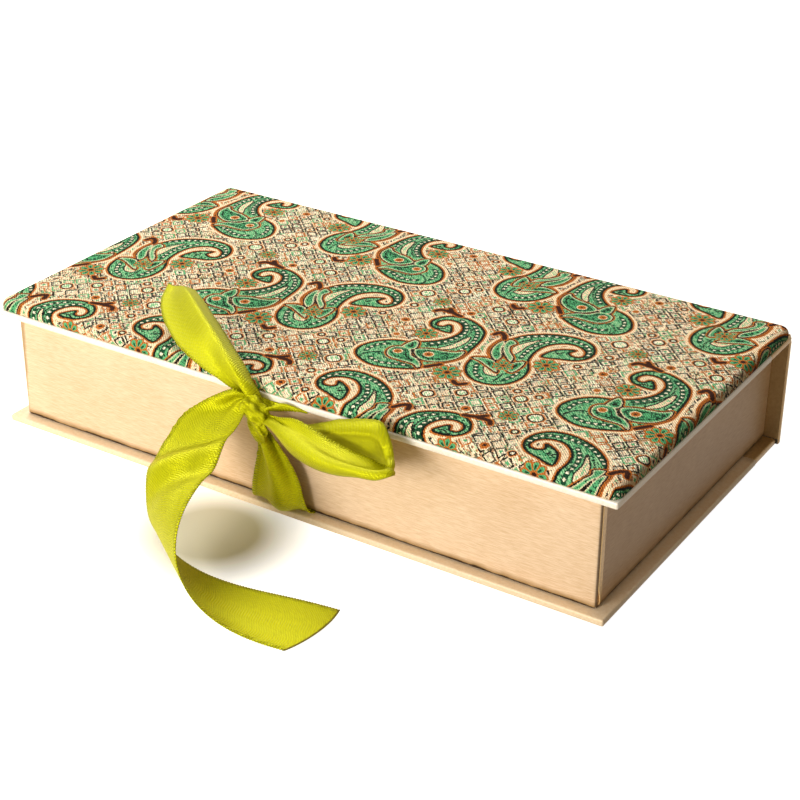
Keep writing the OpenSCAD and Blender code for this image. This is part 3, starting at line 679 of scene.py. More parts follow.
DOT_PITCH = 2.6
dots = [dot for line in DASHED for dot in spaced(line, DOT_PITCH)]
FIELDS = {"drops": field([DROP, HOOK], closed_distance), "slivers": field(SLIVERS, closed_distance),
          "leaves": field(LEAVES, closed_distance), "veins": field(VEINS, open_distance),
          "dashed": field(DASHED, open_distance), "dots": field(dots, round_distance),
          "eyes": field(EYES, round_distance), "rings": field(RINGS, eight_sided),
          "hooklets": field(HOOKLETS, open_distance), "blooms": bloom_places(),
          "cloth": np.stack([cloth_x.ravel(), cloth_y.ravel(), 0 * cloth_x.ravel()], 1) / MM}
for field_name, values in FIELDS.items():
    store(paisley_cloth, field_name, values)

# The pattern's threads: each area of the pattern is one colour of weft, laid over the ground.
IVORY = (1.0, 0.88, 0.62)
HALO = (0.95, 0.72, 0.44)
ORANGE = (0.52, 0.15, 0.025)
BLACK = (0.006, 0.007, 0.005)
JADE = (0.10, 0.40, 0.16)
PALE_JADE = (0.30, 0.58, 0.28)
DEEP_JADE = (0.01, 0.06, 0.025)
BROWN = (0.04, 0.012, 0.006)

cloth_material, tree, shader = new_material("paisley_weave")


def stored(tree, name, out="Fac"):
    """Numbers stored at the vertices of a piece."""
    return add_node(tree, "Attribute", out=out, attribute_name=name)


def vector_calc(tree, operation, *values, out=0):
    """One step of arithmetic on vectors."""
    return add_node(tree, "VectorMath", enumerate(values), out, operation=operation)


def both(a, b):
    """Product of two shares: 1 where both are 1."""
    return times(tree, a, b)


def below(value, limit, soft=0.1):
    """1 where value is below limit, with a soft step."""
    return ramp(tree, value, limit + soft, limit - soft)


def band(value, low, high, soft=0.1):
    """1 where value is between low and high."""
    return both(below(value, high, soft), ramp(tree, value, low - soft, low + soft))


def diagonal(vector):
    """A place turned by half a right angle, to run along the diagonals of the cloth."""
    return add_node(tree, "VectorRotate", {0: vector, 3: np.pi / 4}, rotation_type="Z_AXIS")


def chances(cells):
    """Three random numbers from 0 to 1 for each cell."""
    colour = add_node(tree, "TexWhiteNoise", {0: cells}, 1, noise_dimensions="2D")
    return tuple(add_node(tree, "SeparateColor", {0: colour}).node.outputs)


# The weaver's threads shift every edge of the pattern a little, by up to half of this.
FRAY = 1.1
place = stored(tree, "cloth", "Vector")
jitter = add_node(tree, "TexNoise", {0: place, 2: 1.9, 3: 1.0}, 1)
shift = vector_calc(tree, "SUBTRACT", jitter, (0.5, 0.5, 0.5))
woven = vector_calc(tree, "MULTIPLY_ADD", shift, (FRAY, FRAY, 0), place)
wobble = times(tree, split(tree, shift)[0], FRAY)


def frayed(name):
    """A stored field whose edge is stepped by the threads."""
    return calc(tree, "ADD", stored(tree, name), wobble)


def glyphs(pitch, offset):
    """Cells of a diamond lattice: distances from the cell's middle along its two sides in
    millimetres, and three random numbers for each cell."""
    scaled = vector_calc(tree, "MULTIPLY_ADD", diagonal(woven), (1 / pitch, 1 / pitch, 1),
                         (offset, offset, 0))
    inner = split(tree, vector_calc(tree, "FRACTION", scaled))
    u, v = (times(tree, calc(tree, "SUBTRACT", part, 0.5), pitch) for part in inner[:2])
    return u, v, chances(vector_calc(tree, "FLOOR", scaled))


# Ground: clouds of two creams, flecked with single threads of the other colours, and over them
# small broken squares and strokes in two diamond lattices.
THREAD_CELL = (1.1, 2.4, 1)
clouds = add_node(tree, "TexNoise", {0: place, 2: 0.12})
ground = blend_colours(tree, ramp(tree, clouds, 0.35, 0.65), IVORY, HALO)
flecks = chances(vector_calc(tree, "FLOOR", vector_calc(tree, "MULTIPLY", diagonal(place),
                                                        THREAD_CELL)))
for fleck, limit, share, thread in zip(flecks, (0.22, 0.3, 0.2), (0.65, 0.7, 0.85),
                                       (PALE_JADE, ORANGE, BLACK)):
    ground = blend_colours(tree, both(below(fleck, limit, 0.01), share), ground, thread)
for pitch, offset, line, share in ((2.9, 0.4, 0.22, 0.4), (4.8, 0.0, 0.3, 1.0)):
    u, v, cell_chances = glyphs(pitch, offset)
    square = calc(tree, "MAXIMUM", calc(tree, "ABSOLUTE", u), calc(tree, "ABSOLUTE", v))
    reach = pitch / 2 - 0.4
    fits = below(square, reach)
    ell = both(fits, below(calc(tree, "MINIMUM", u, v), 2 * line - reach))
    stroke = both(fits, below(calc(tree, "ABSOLUTE", v), line))
    ringed = band(square, pitch * 0.3, pitch * 0.3 + 2 * line)
    filled = below(square, 0.6)
    marks = [(ell, 0, 0.0, 0.4, BLACK), (ell, 0, 0.4, 0.6, JADE), (stroke, 0, 0.6, 0.8, ORANGE),
             (ell, 1, 0.0, 0.25, ORANGE), (stroke, 1, 0.25, 0.45, BLACK)]
    if share == 1:
        marks = [(both(fits, 0.35), 2, 0.0, 0.84, IVORY), (ringed, 2, 0.0, 0.42, BLACK),
                 (filled, 2, 0.1, 0.28, JADE), (filled, 2, 0.28, 0.42, ORANGE),
                 (ringed, 2, 0.42, 0.6, ORANGE), (filled, 2, 0.48, 0.6, JADE),
                 (ringed, 2, 0.6, 0.7, JADE), (filled, 2, 0.6, 0.66, BLACK),
                 (ell, 2, 0.7, 0.84, BLACK), (stroke, 2, 0.84, 0.94, ORANGE)]
    for mark, number, least, most, thread in marks:
        chosen = both(mark, band(cell_chances[number], least * share, most * share, 0.005))
        ground = blend_colours(tree, chosen, ground, thread)

# Drops, leaves and flowers: their areas lie over the ground in layers, each over those before.
drops, veins, dashed, slivers = (frayed(n) for n in ("drops", "veins", "dashed", "slivers"))
leaves, rings, eyes, hooklets = (frayed(n) for n in ("leaves", "rings", "eyes", "hooklets"))
inside = below(drops, -0.2)
bloom_x, bloom_y, bloom_reach = split(tree, stored(tree, "blooms", "Vector"))
petals = calc(tree, "COSINE", times(tree, calc(tree, "ARCTAN2", bloom_y, bloom_x), 8))
lobed = calc(tree, "SUBTRACT", calc(tree, "MULTIPLY_ADD", wobble, 0.12, bloom_reach),
             times(tree, petals, 0.1))
layers = [
    (below(drops, 2.1), HALO), (band(drops, 0.2, 1.05), ORANGE), (below(drops, 0.4), BLACK),
    (below(drops, -0.6), JADE), (both(inside, below(flecks[0], 0.3, 0.01)), DEEP_JADE),
    (both(both(inside, below(drops, -0.6)), below(flecks[1], 0.42, 0.01)), PALE_JADE),
    (both(inside, below(veins, 0.42)), BLACK), (both(inside, below(dashed, 1.0)), DEEP_JADE),
    (both(inside, below(frayed("dots"), 0.66)), IVORY),
    (below(slivers, 0.5), BLACK), (below(slivers, -0.1), HALO),
    (both(below(slivers, -0.5), below(flecks[0], 0.4, 0.01)), PALE_JADE),
    (below(leaves, 0.95), ORANGE), (below(leaves, 0.45), BLACK), (below(leaves, -0.15), HALO),
    (below(leaves, -0.4), PALE_JADE), (below(leaves, -0.8), JADE),
    (both(below(leaves, -0.8), below(flecks[0], 0.35, 0.01)), DEEP_JADE),
    (band(leaves, -2.2, -1.7), BLACK),
    (below(rings, 0.9), HALO), (band(rings, 0.0, 0.55), ORANGE), (band(rings, -0.6, 0.1), BLACK),
    (below(rings, -0.6), IVORY), (both(below(rings, -0.8), below(flecks[1], 0.5, 0.01)), PALE_JADE),
    (below(eyes, 0.2), HALO), (below(eyes, -0.2), ORANGE), (below(eyes, -1.2), BROWN),
    (below(hooklets, 1.5), ORANGE), (below(hooklets, 0.9), BROWN),
    (below(lobed, 1.02, 0.04), ORANGE), (below(lobed, 0.86, 0.04), JADE),
    (both(band(lobed, 0.3, 0.62, 0.04), ramp(tree, petals, 0.3, 0.7)), DEEP_JADE),
    (both(below(lobed, 1.0, 0.04), ramp(tree, petals, -0.35, -0.75)), ORANGE),
    (below(bloom_reach, 0.34, 0.04), ORANGE), (below(bloom_reach, 0.2, 0.04), BROWN)]
colour = ground
for share, thread in layers:
    colour = blend_colours(tree, share, colour, thread)

# Weave: a twill along the diagonal, and threads that differ in tone.
TWILL = 0.8
WEAVE_RELIEF = 0.1 * MM
twill_way = diagonal(place)
twill = calc(tree, "SINE", times(tree, split(tree, twill_way)[1], 2 * np.pi / TWILL))
thread_place = vector_calc(tree, "MULTIPLY", twill_way, (1, 2.2, 1))
thread_tone = add_node(tree, "TexNoise", {0: thread_place, 2: 1.8, 3: 2.0})
shade = calc(tree, "ADD", times(tree, twill, 0.2),
             calc(tree, "MULTIPLY_ADD", ramp(tree, thread_tone, 0.32, 0.68), 0.9, 0.54))
toned = vector_calc(tree, "MULTIPLY", colour,
                    add_node(tree, "CombineXYZ", {0: shade, 1: shade, 2: shade}))
tree.links.new(toned, shader.inputs["Base Color"])
shader.inputs["Roughness"].default_value = 0.8
shader.inputs["Specular IOR Level"].default_value = 0.05
bump(tree, shader, calc(tree, "ADD", twill, thread_tone), WEAVE_RELIEF, 0.8)
dress(paisley_cloth, cloth_material, "lid", "paisley_fabric", "lid_fabric")

# Foam under the cloth: a thin open-celled sheet, rounded at its edge by the cloth's pull.
FOAM_IN = 0.55 * MM
foam_low, foam_high = (np.array(corner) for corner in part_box("pad_foam"))
foam_levels = [(0, foam_low[2]), (0, pad_edge_z - PAD_ROUND)]
foam_levels += [tuple(p) for p in quarter((0, pad_edge_z - PAD_ROUND),
                                          (PAD_ROUND, pad_edge_z - FOAM_IN),
                                          (0, pad_edge_z - FOAM_IN))[1:]]
foam_levels += [(s * MM, pad_edge_z - FOAM_IN) for s in (6, 12, 24, 40, 60)]
foam_rings = np.array([np.insert(outline(foam_low, foam_high, PAD_CORNER, inset), 2, level, axis=1)
                       for inset, level in foam_levels])
foam_rings[2:, :, 2] += crown(foam_rings[2:, :, 0], foam_rings[2:, :, 1], foam_low, foam_high,
                              PAD_CROWN)
foam_sheet = skin("pad_foam_sheet", foam_rings)
foam_material = paper("open_foam", (0.9, 0.87, 0.78), (0.72, 0.69, 0.6), 0.0, 0.9)
dress(foam_sheet, foam_material, "lid", "foam", "pad_foam")

# Satin ribbon. One ribbon is glued under the tray and one under the lid board. They are tied at
# the front in a half bow: a knot, one loop and two tails. All have stitched, scalloped edges.
RIBBON = 26 * MM
RIBBON_T = 0.4 * MM
SCALLOP = 1.1 * MM
SATIN = (0.5, 0.48, 0.003)
SEALED = (0.10, 0.06, 0.008)
lid_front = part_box("lid_cover")[0][1]
lid_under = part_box("lid_cover")[0][2]
lid_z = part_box("lid_liner")[0][2]
pad_top = pad_high[2]
KNOT = np.array([-RIBBON / 5, lid_front - RIBBON * 0.15, lid_z - RIBBON * 0.06])
ALONG = 12
ACROSS = 26
RIB = 0.55
SATIN_TWILL = 0.9
SATIN_RELIEF = 0.1 * MM
PLEAT_REACH = 9 * MM


def cross_lines(left, middle, right, count):
    """Each row runs from the left edge through the middle to the right edge on a parabola."""
    v = np.linspace(0, 1, count + 1)[None, :, None]
    return (left[:, None] * (2 * v - 1) * (v - 1) + middle[:, None] * 4 * v * (1 - v)
            + right[:, None] * v * (2 * v - 1))


def ribbon_material(name, colour):
    """Satin: a close twill, a gloss that is drawn out across the ribbon because its long floats
    run along it, and raised stitching at both edges. Its place is the ribbon's own length and
    width in millimetres."""
    material, tree, shader = new_material(name)
    place = stored(tree, "satin", "Vector")
    length, width, edge = split(tree, place)
    ribs = calc(tree, "SINE", times(tree, length, 2 * np.pi / RIB))
    stitches = calc(tree, "SINE", times(tree, length, 2 * np.pi * MM / SCALLOP))
    twill = calc(tree, "SINE", times(tree, calc(tree, "MULTIPLY_ADD", width, 0.5, length),
                                     2 * np.pi / SATIN_TWILL))
    selvedge = ramp(tree, edge, 1.3, 0.9)
    seam = times(tree, ramp(tree, edge, 1.0, 1.3), ramp(tree, edge, 1.8, 1.4))
    yarn_place = vector_calc(tree, "MULTIPLY", place, (4, 0.5, 0))
    yarn = add_node(tree, "TexNoise", {0: yarn_place, 2: 1.0, 3: 3.0})
    tone = blend_colours(tree, ramp(tree, calc(tree, "MULTIPLY_ADD", twill, 0.07, yarn), 0.3, 0.7),
                         darker(colour, 0.66), colour)
    between_stitches = times(tree, selvedge, ramp(tree, stitches, -0.2, -0.9))
    cut_end = ramp(tree, stored(tree, "cut"), 0.8, 0.3)
    for share, shade in ((between_stitches, darker(colour, 0.45)),
                         (times(tree, seam, 0.6), darker(colour, 0.5)),
                         (times(tree, cut_end, 0.85), SEALED)):
        tone = blend_colours(tree, share, tone, shade)
    tree.links.new(tone, shader.inputs["Base Color"])
    shader.inputs["Roughness"].default_value = 0.36
    shader.inputs["Metallic"].default_value = 0.5
    shader.inputs["Anisotropic"].default_value = 0.8
    shader.inputs["Specular Tint"].default_value = (1, 0.95, 0.1, 1)
    weft = add_node(tree, "VectorTransform", {0: stored(tree, "weft", "Vector")},
                    vector_type="VECTOR", convert_from="OBJECT", convert_to="WORLD")
    tree.links.new(weft, shader.inputs["Tangent"])
    height = calc(tree, "MULTIPLY_ADD", stitches, times(tree, selvedge, 1.2),
                  calc(tree, "MULTIPLY_ADD", twill, 0.6, times(tree, ribs, 0.3)))
    bump(tree, shader, height, SATIN_RELIEF, 0.8)
    return material


satin = ribbon_material("satin", SATIN)


def pleated(grid, count, share):
    """Takes up the width that the grid lacks in waves across it: a wave over a share of the width
    makes the line longer by the square of its slope, so its height follows from what is missing.
    The waves die out away from the knot, where a share of them is left."""
    along, across = np.gradient(grid, axis=0), np.gradient(grid, axis=1)
    normal = np.cross(along, across)
    normal /= np.linalg.norm(normal, axis=2)[:, :, None] + 1e-12
    width = np.linalg.norm(np.diff(grid, axis=1), axis=2).sum(axis=1)
    height = width / (np.pi * count) * np.sqrt(np.clip(RIBBON / width - 1, 0, None))
    away = np.linalg.norm(grid.mean(axis=1) - KNOT, axis=1)
    height *= share + (1 - share) * np.exp(-(away / PLEAT_REACH) ** 2)
    v = np.linspace(0, 1, grid.shape[1])
    return grid + normal * (height[:, None] * np.sin(2 * np.pi * count * v)[None, :])[:, :, None]


def ribbon(name, grid, body, replaced, pleats):
    """Ribbon along a grid of cross-lines. The edges are scalloped outwards in the sheet. It
    stores its own length and width, the way to its cut end and the direction of its weft."""
    grid = pleated(grid, *pleats)
    rows, columns = grid.shape[:2]
    steps = np.linalg.norm(np.diff(grid, axis=0), axis=2)
    length = np.concatenate([np.zeros((1, columns)), np.cumsum(steps, axis=0)])
    width = np.linspace(-RIBBON / 2, RIBBON / 2, columns)
    outward = np.zeros_like(grid)
    outward[:, 0] = grid[:, 0] - grid[:, 1]
    outward[:, -1] = grid[:, -1] - grid[:, -2]
    scallop = 0.2 * np.sin(length / SCALLOP * 2 * np.pi)
    grid = grid + outward * scallop[:, :, None]
    piece = make_object(name, grid, grid_faces(rows, columns))
    edge = RIBBON / 2 - np.abs(width)
    store(piece, "satin", np.stack([length.ravel(), np.tile(width, rows),
                                    np.tile(edge, rows)], axis=1) / MM)
    store(piece, "cut", (length[-1] - length).ravel() / MM)
    store(piece, "weft", np.gradient(grid, axis=1).reshape(-1, 3) / MM)
    thicken(piece, RIBBON_T * 0.9, 0)
    dress(piece, satin, body, "satin_ribbon", *replaced)
    return piece


def from_knot(shares):
    """Places beside the knot, given as shares of the ribbon's width."""
    return KNOT + RIBBON * np.array(shares)


def strip(left, middle, right):
    """Cross-lines of a ribbon whose edges and middle line are smooth curves."""
    return cross_lines(smooth(left, ALONG), smooth(middle, ALONG), smooth(right, ALONG), ACROSS)


tray_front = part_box("tray_wrap")[0][1]
tray_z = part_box("tray_wrap")[0][2]


def from_base(shares):
    """X and Y as shares of the ribbon's width, Y forwards from the tray, and Z as a share of the
    height from the base to the knot."""
    s = np.array(shares)
    return np.stack([RIBBON * s[:, 0], tray_front - RIBBON * s[:, 1],
                     tray_z + RIBBON_T / 2 + (KNOT[2] - tray_z) * s[:, 2]], axis=1)


base_left = from_base([[-0.49, -0.3, 0], [-0.49, 0.005, 0], [-0.49, 0.06, 0.01], [-0.42, 0.17, 0.04],
                       [-0.4, 0.24, 0.1], [-0.37, 0.27, 0.22], [-0.33, 0.27, 0.36],
                       [-0.27, 0.27, 0.56], [-0.24, 0.28, 0.89]])
base_middle = from_base([[0, -0.3, 0], [0, 0.005, 0], [0.01, 0.08, 0.01], [0.08, 0.22, 0.03],
                         [0.11, 0.3, 0.08], [0.12, 0.35, 0.18], [0.1, 0.35, 0.35],
                         [0, 0.35, 0.56], [-0.18, 0.33, 0.88]])
base_right = from_base([[0.49, -0.3, 0], [0.49, 0.005, 0], [0.49, 0.06, 0.01], [0.5, 0.14, 0.04],
                        [0.47, 0.19, 0.11], [0.43, 0.21, 0.23], [0.38, 0.22, 0.36],
                        [0.22, 0.24, 0.56], [-0.13, 0.29, 0.86]])
base_ribbon = ribbon("base_ribbon_satin", strip(base_left, base_middle, base_right), "case",
                     ["base_ribbon"], (1.5, 0.7))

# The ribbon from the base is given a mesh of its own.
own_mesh(base_ribbon)

# The ribbon from the lid comes out from under its front edge and narrows into the knot.
lid_edge_y = lid_front - 0.3 * MM
lid_sides = []
for x_share, shares in ((-0.49, [[-0.24, 0.05, 0.1], [-0.2, 0.02, 0.08], [-0.1, 0, 0.06]]),
                        (0, [[0.1, 0.07, 0.08], [0.08, 0.03, 0.05], [0.04, 0, 0.03]]),
                        (0.49, [[0.46, 0.06, 0.07], [0.3, 0.03, 0.04], [0.1, 0, 0]])):
    flat = [[RIBBON * x_share, lid_edge_y + y, lid_under + RIBBON_T / 2]
            for y in (8 * MM, 0.2 * MM, -0.1 * MM)]
    lid_sides.append(np.concatenate([flat, from_knot(shares)]))
lid_ribbon = ribbon("lid_ribbon_satin", strip(*lid_sides), "lid", ["lid_ribbon"],
                    (1.5, 0.3))

# Loop: out to the right, round, and back behind itself.
loop_top = from_knot([[0.13, -0.02, -0.03], [0.42, -0.1, 0.04], [0.72, -0.15, 0.12],
                      [1.05, -0.21, 0.1], [1.38, -0.25, 0.04], [1.69, -0.27, -0], [1.98, -0.29, -0.01],
                      [2.21, -0.29, -0.04], [2.21, -0.17, 0.08], [2.13, -0.1, 0.3], [1.99, -0.06, 0.42],
                      [1.68, -0.02, 0.35], [1.27, 0.02, 0.2], [0.86, 0.02, 0.01], [0.46, 0.02, -0.1],
                      [0.13, 0.02, -0.08]])
loop_middle = from_knot([[0.18, -0.06, -0.05], [0.51, -0.25, 0.02], [0.85, -0.4, 0.03],
                         [1.26, -0.56, 0.03], [1.67, -0.65, 0.04], [2.03, -0.71, 0.09],
                         [2.32, -0.71, 0.11], [2.48, -0.63, 0.12], [2.31, -0.4, 0.05], [2.17, -0.27, 0.12],
                         [1.99, -0.17, 0.15], [1.7, -0.1, 0.08], [1.3, -0.02, -0.05], [0.89, 0.02, -0.13],
                         [0.49, 0.02, -0.19], [0.13, 0.02, -0.11]])
loop_low = from_knot([[0.16, -0.02, -0.13], [0.46, -0.25, -0.12], [0.85, -0.48, -0.18],
                      [1.28, -0.63, -0.19], [1.73, -0.75, -0.11], [2.14, -0.83, 0.02],
                      [2.42, -0.83, 0.07], [2.55, -0.75, 0.13], [2.4, -0.56, 0.02], [2.15, -0.37, -0.15],
                      [1.81, -0.17, -0.31], [1.49, -0.08, -0.36], [1.17, -0.02, -0.37],
                      [0.82, 0.02, -0.33], [0.48, 0.04, -0.26], [0.13, 0.02, -0.16]])
bow_loop = ribbon("bow_loop_satin", strip(loop_top, loop_middle, loop_low), "lid", ["bow_loop"],
                  (1, 0.45))


# Short tail: up over the padded panel to the left, folded along its length.
def over_lid(shares):
    """X and Y as shares of the ribbon's width, Z as a share of the rise from knot to panel."""
    s = np.array(shares)
    return KNOT + np.stack([RIBBON * s[:, 0], RIBBON * s[:, 1], (pad_top - KNOT[2]) * s[:, 2]],
                           axis=1)


def creased(left, fold, right, share):
    """Cross-lines that are straight from the left edge to a fold, which lies at a share of the
    width, and straight from there to the right edge."""
    v = np.linspace(0, 1, ACROSS + 1)[None, :, None]
    a, b, c = (smooth(line, ALONG)[:, None] for line in (left, fold, right))
    return a + (b - a) * np.clip(v / share, 0, 1) + (c - b) * np.clip((v - share) / (1 - share), 0, 1)


short_left = over_lid([[-0.13, 0.06, 0.18], [-0.4, -0.07, 0.61], [-0.63, -0.11, 0.95],
                       [-0.85, -0.12, 1.18], [-1.21, -0.02, 1.39], [-1.57, 0.16, 1.55],
                       [-2, 0.48, 1.78], [-2.28, 0.79, 1.97], [-2.49, 1.22, 2.12]])
short_fold = over_lid([[-0.09, 0.08, 0.24], [-0.17, -0.05, 0.85], [-0.46, 0.02, 1.45],
                       [-0.87, 0.27, 1.8], [-1.18, 0.46, 2.05], [-1.51, 0.68, 2.2],
                       [-1.82, 0.9, 2.3], [-2, 1.03, 2.3], [-2.15, 1.13, 2.25]])
short_right = over_lid([[-0.08, 0.16, 0.24], [-0.23, 0.19, 0.74], [-0.41, 0.26, 1.14],
                        [-0.65, 0.38, 1.44], [-0.97, 0.58, 1.66], [-1.33, 0.82, 1.81],
                        [-1.72, 1.08, 1.93], [-1.91, 1.2, 1.97], [-2.09, 1.32, 1.99]])
tail_short = ribbon("tail_short_satin", creased(short_left, short_fold, short_right, 0.8), "lid",
                    ["tail_short"], (1, 0.12))

# Knot: the ribbon is gathered into pleats and wound once round the others, and the knot is tilted
# down to the right. It stores the same three fields as the ribbons, for the same satin.
KNOT_LENGTH = RIBBON * 0.44
KNOT_RADIUS = RIBBON * 0.14
KNOT_TILT = np.radians(40)
KNOT_FORWARD = 2 * MM
FROM_EDGE = 5 * MM
UNCUT = 9.0
KNOT_SHAPE = np.array([[-0.5, 0.3], [-0.47, 0.72], [-0.36, 1], [-0.1, 1.04], [0.2, 1], [0.4, 0.84],
                       [0.48, 0.6], [0.5, 0.3]])
knot_stations = smooth(KNOT_SHAPE, 8)
knot_turn = np.linspace(0, 2 * np.pi, 72, endpoint=False)
pleat = (1 + 0.14 * np.sin(knot_turn[None] * 6 + knot_stations[:, :1] * 2.5)
         + 0.07 * np.sin(knot_turn[None] * 3 - knot_stations[:, :1] * 14)
         + 0.04 * np.sin(knot_turn[None] * 11 + knot_stations[:, :1] * 20))
knot_radius = KNOT_RADIUS * knot_stations[:, 1:] * pleat
knot_x = np.broadcast_to(KNOT_LENGTH * knot_stations[:, :1], knot_radius.shape)
knot_y = knot_radius * np.cos(knot_turn)
knot_z = knot_radius * np.sin(knot_turn)
knot_points = np.stack([knot_x * np.cos(KNOT_TILT) + knot_z * np.sin(KNOT_TILT), knot_y,
                        knot_z * np.cos(KNOT_TILT) - knot_x * np.sin(KNOT_TILT)], axis=-1) + KNOT
knot_points[:, :, 1] -= KNOT_FORWARD
bow_knot = skin("bow_knot_satin", knot_points)
knot_s = np.broadcast_to(knot_turn * KNOT_RADIUS, knot_radius.shape)
store(bow_knot, "cut", np.full(knot_radius.size, UNCUT))
store(bow_knot, "weft", np.gradient(knot_points, axis=0).reshape(-1, 3) / MM)
store(bow_knot, "satin", np.stack([knot_s, knot_x * 3, np.full(knot_s.shape, FROM_EDGE)], axis=-1)
      .reshape(-1, 3) / MM)
dress(bow_knot, satin, "lid", "satin_ribbon", "bow_knot")

# Tuck under the knot: a pinched fold of the ribbon that the knot squeezes out downwards.
TUCK = np.array([[0.04, -0.12, -0.1, 0.12], [0.07, -0.13, -0.26, 0.13], [0.09, -0.12, -0.4, 0.07],
                 [0.1, -0.1, -0.48, 0.012]])
tuck_rows = smooth(TUCK, 8)
tuck_crumple = 1 + 0.22 * np.sin(knot_turn[None] * 5 + tuck_rows[:, 2:3] * 25)
tuck_wide = tuck_rows[:, 3:] * tuck_crumple
tuck_points = KNOT + RIBBON * (tuck_rows[:, None, :3] + np.stack(
    [tuck_wide * np.cos(knot_turn), 0.45 * tuck_wide * np.sin(knot_turn), 0 * tuck_wide], axis=-1))
knot_tuck = skin("knot_tuck_satin", tuck_points)
store(knot_tuck, "cut", np.full(tuck_wide.size, UNCUT))
store(knot_tuck, "weft", np.gradient(tuck_points, axis=1).reshape(-1, 3) / MM)
store(knot_tuck, "satin", np.stack(np.broadcast_arrays(
    tuck_rows[:, 2:3] * RIBBON, knot_turn * 2 * MM, FROM_EDGE), axis=-1).reshape(-1, 3) / MM)
dress(knot_tuck, satin, "lid", "satin_ribbon")

# The long tail is wound obliquely on a level axis: it turns down, forwards and back along the
# surface that the box stands on. Its turning is given in degrees for the profile's whole length.
TAIL_LENGTH = 130 * MM
TAIL_AXIS = np.radians(-36)
TAIL_SLANT = np.radians(43)
TAIL_LEAN = 220
TAIL_TURN = np.array([[0, -250], [0.17, -80], [0.33, 295], [0.5, 440], [0.67, 265], [0.83, 95],
                      [1, -40]])
TAIL_CUT = 0.25
TAIL_BULGE = 2.6 * MM
TAIL_LIFT = 1.2 * MM
TAIL_STEP = 0.004
SWAY = 2.7 * MM
SWAY_LENGTH = 27 * MM
SWAY_SLANT = 0.6
SWAY_START = 12 * MM
SWAY_END = 55 * MM

profile_length = TAIL_LENGTH * np.sin(TAIL_SLANT)
margin = RIBBON / profile_length
profile_u = np.arange(-margin, 1 + margin, TAIL_STEP)
turning = np.interp(profile_u, *TAIL_TURN.T)
profile_angle = TAIL_LEAN - TAIL_TURN[0, 1] * margin + np.concatenate(
    [[0], np.cumsum(turning[:-1]) * TAIL_STEP])
profile_run, profile_rise = (np.concatenate([[0], np.cumsum(f(np.radians(profile_angle[:-1])))])
                             * TAIL_STEP for f in (np.cos, np.sin))
run_start, rise_start = (np.interp(0, profile_u, p) for p in (profile_run, profile_rise))
between = (profile_u > 0) & (profile_u < 1)
deepest = profile_rise[between].min() - rise_start
tail_start = np.array([KNOT[0] - 0.72 * RIBBON, KNOT[1] + 0.1 * RIBBON, KNOT[2] * 0.93])


def tail_point(s, t):
    """Point of the long tail at s along and t across: along the axis it moves straight, and across
    it the profile's run and rise carry it out and down. Below the knot it also sways up and down
    in a sine wave that runs aslant and fades at both ends."""
    u = (s * np.sin(TAIL_SLANT) + t * np.cos(TAIL_SLANT)) / profile_length
    along = s * np.cos(TAIL_SLANT) - t * np.sin(TAIL_SLANT)
    out = (np.interp(u, profile_u, profile_run) - run_start) * profile_length
    sunk = (np.interp(u, profile_u, profile_rise) - rise_start) / deepest
    oblique = s - SWAY_SLANT * t
    window = np.sin(np.pi * np.clip((oblique - SWAY_START) / (SWAY_END - SWAY_START), 0, 1)) ** 2
    sway = -SWAY * window * np.sin(2 * np.pi * (oblique - SWAY_START) / SWAY_LENGTH)
    return np.stack([tail_start[0] + along * np.cos(TAIL_AXIS) - out * np.sin(TAIL_AXIS),
                     tail_start[1] + along * np.sin(TAIL_AXIS) + out * np.cos(TAIL_AXIS),
                     tail_start[2] - (tail_start[2] - RIBBON_T - TAIL_LIFT) * sunk + sway], axis=-1)


# From the knot to the neck the tail is gathered, and over a short stretch it is led onto the winding.
NECK = 24 * MM
BLEND = 10
BLEND_STEP = 0.6 * MM
TAIL_ROWS = 320
tail_t = RIBBON * (0.5 - np.linspace(0, 1, ACROSS + 1))
tail_cut = TAIL_LENGTH + TAIL_CUT * tail_t + TAIL_BULGE * (1 - (2 * tail_t / RIBBON) ** 2)
tail_s = NECK + np.linspace(0, 1, TAIL_ROWS + 1)[:, None] * (tail_cut - NECK)
tail_rows = tail_point(tail_s, np.broadcast_to(tail_t, tail_s.shape))
neck_lines = []
for side, stations in (
        (0.5, [[-0.14, 0, 0.11], [-0.24, -0.04, 0.2], [-0.36, -0.1, 0.24], [-0.56, -0.15, 0.14],
               [-0.81, -0.23, -0.03], [-1.01, -0.42, -0.22]]),
        (0, [[-0.13, -0.04, 0.1], [-0.19, -0.09, 0.12], [-0.26, -0.12, 0.08], [-0.35, -0.16, -0.02],
             [-0.43, -0.27, -0.12], [-0.49, -0.48, -0.24]]),
        (-0.5, [[-0.11, -0.06, 0.08], [-0.12, -0.12, 0.08], [-0.1, -0.19, 0.06], [-0.06, -0.27, 0.01],
                [-0.04, -0.4, -0.06], [-0.03, -0.53, -0.11]])):
    onward = tail_point(np.array([NECK, NECK + 5 * MM]), np.full(2, side * RIBBON))
    neck_lines.append(np.concatenate([from_knot(stations), onward]))
neck = strip(*neck_lines)[:-ALONG - 1]
blend_s = np.repeat(NECK - np.arange(BLEND, 0, -1)[:, None] * BLEND_STEP, ACROSS + 1, axis=1)
onto = np.linspace(0, 1, BLEND + 1)[1:, None, None]
onto = onto * onto * (3 - 2 * onto)
neck[-BLEND:] = (neck[-BLEND:] * (1 - onto)
                 + tail_point(blend_s, np.broadcast_to(tail_t, blend_s.shape)) * onto)
tail_long = ribbon("tail_long_satin", np.concatenate([neck, tail_rows]), "lid", ["tail_long"],
                   (2, 0.1))

# The bow's pieces are each given a mesh of their own.
for bow_piece in (lid_ribbon, bow_loop, tail_short, tail_long, bow_knot, knot_tuck):
    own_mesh(bow_piece)

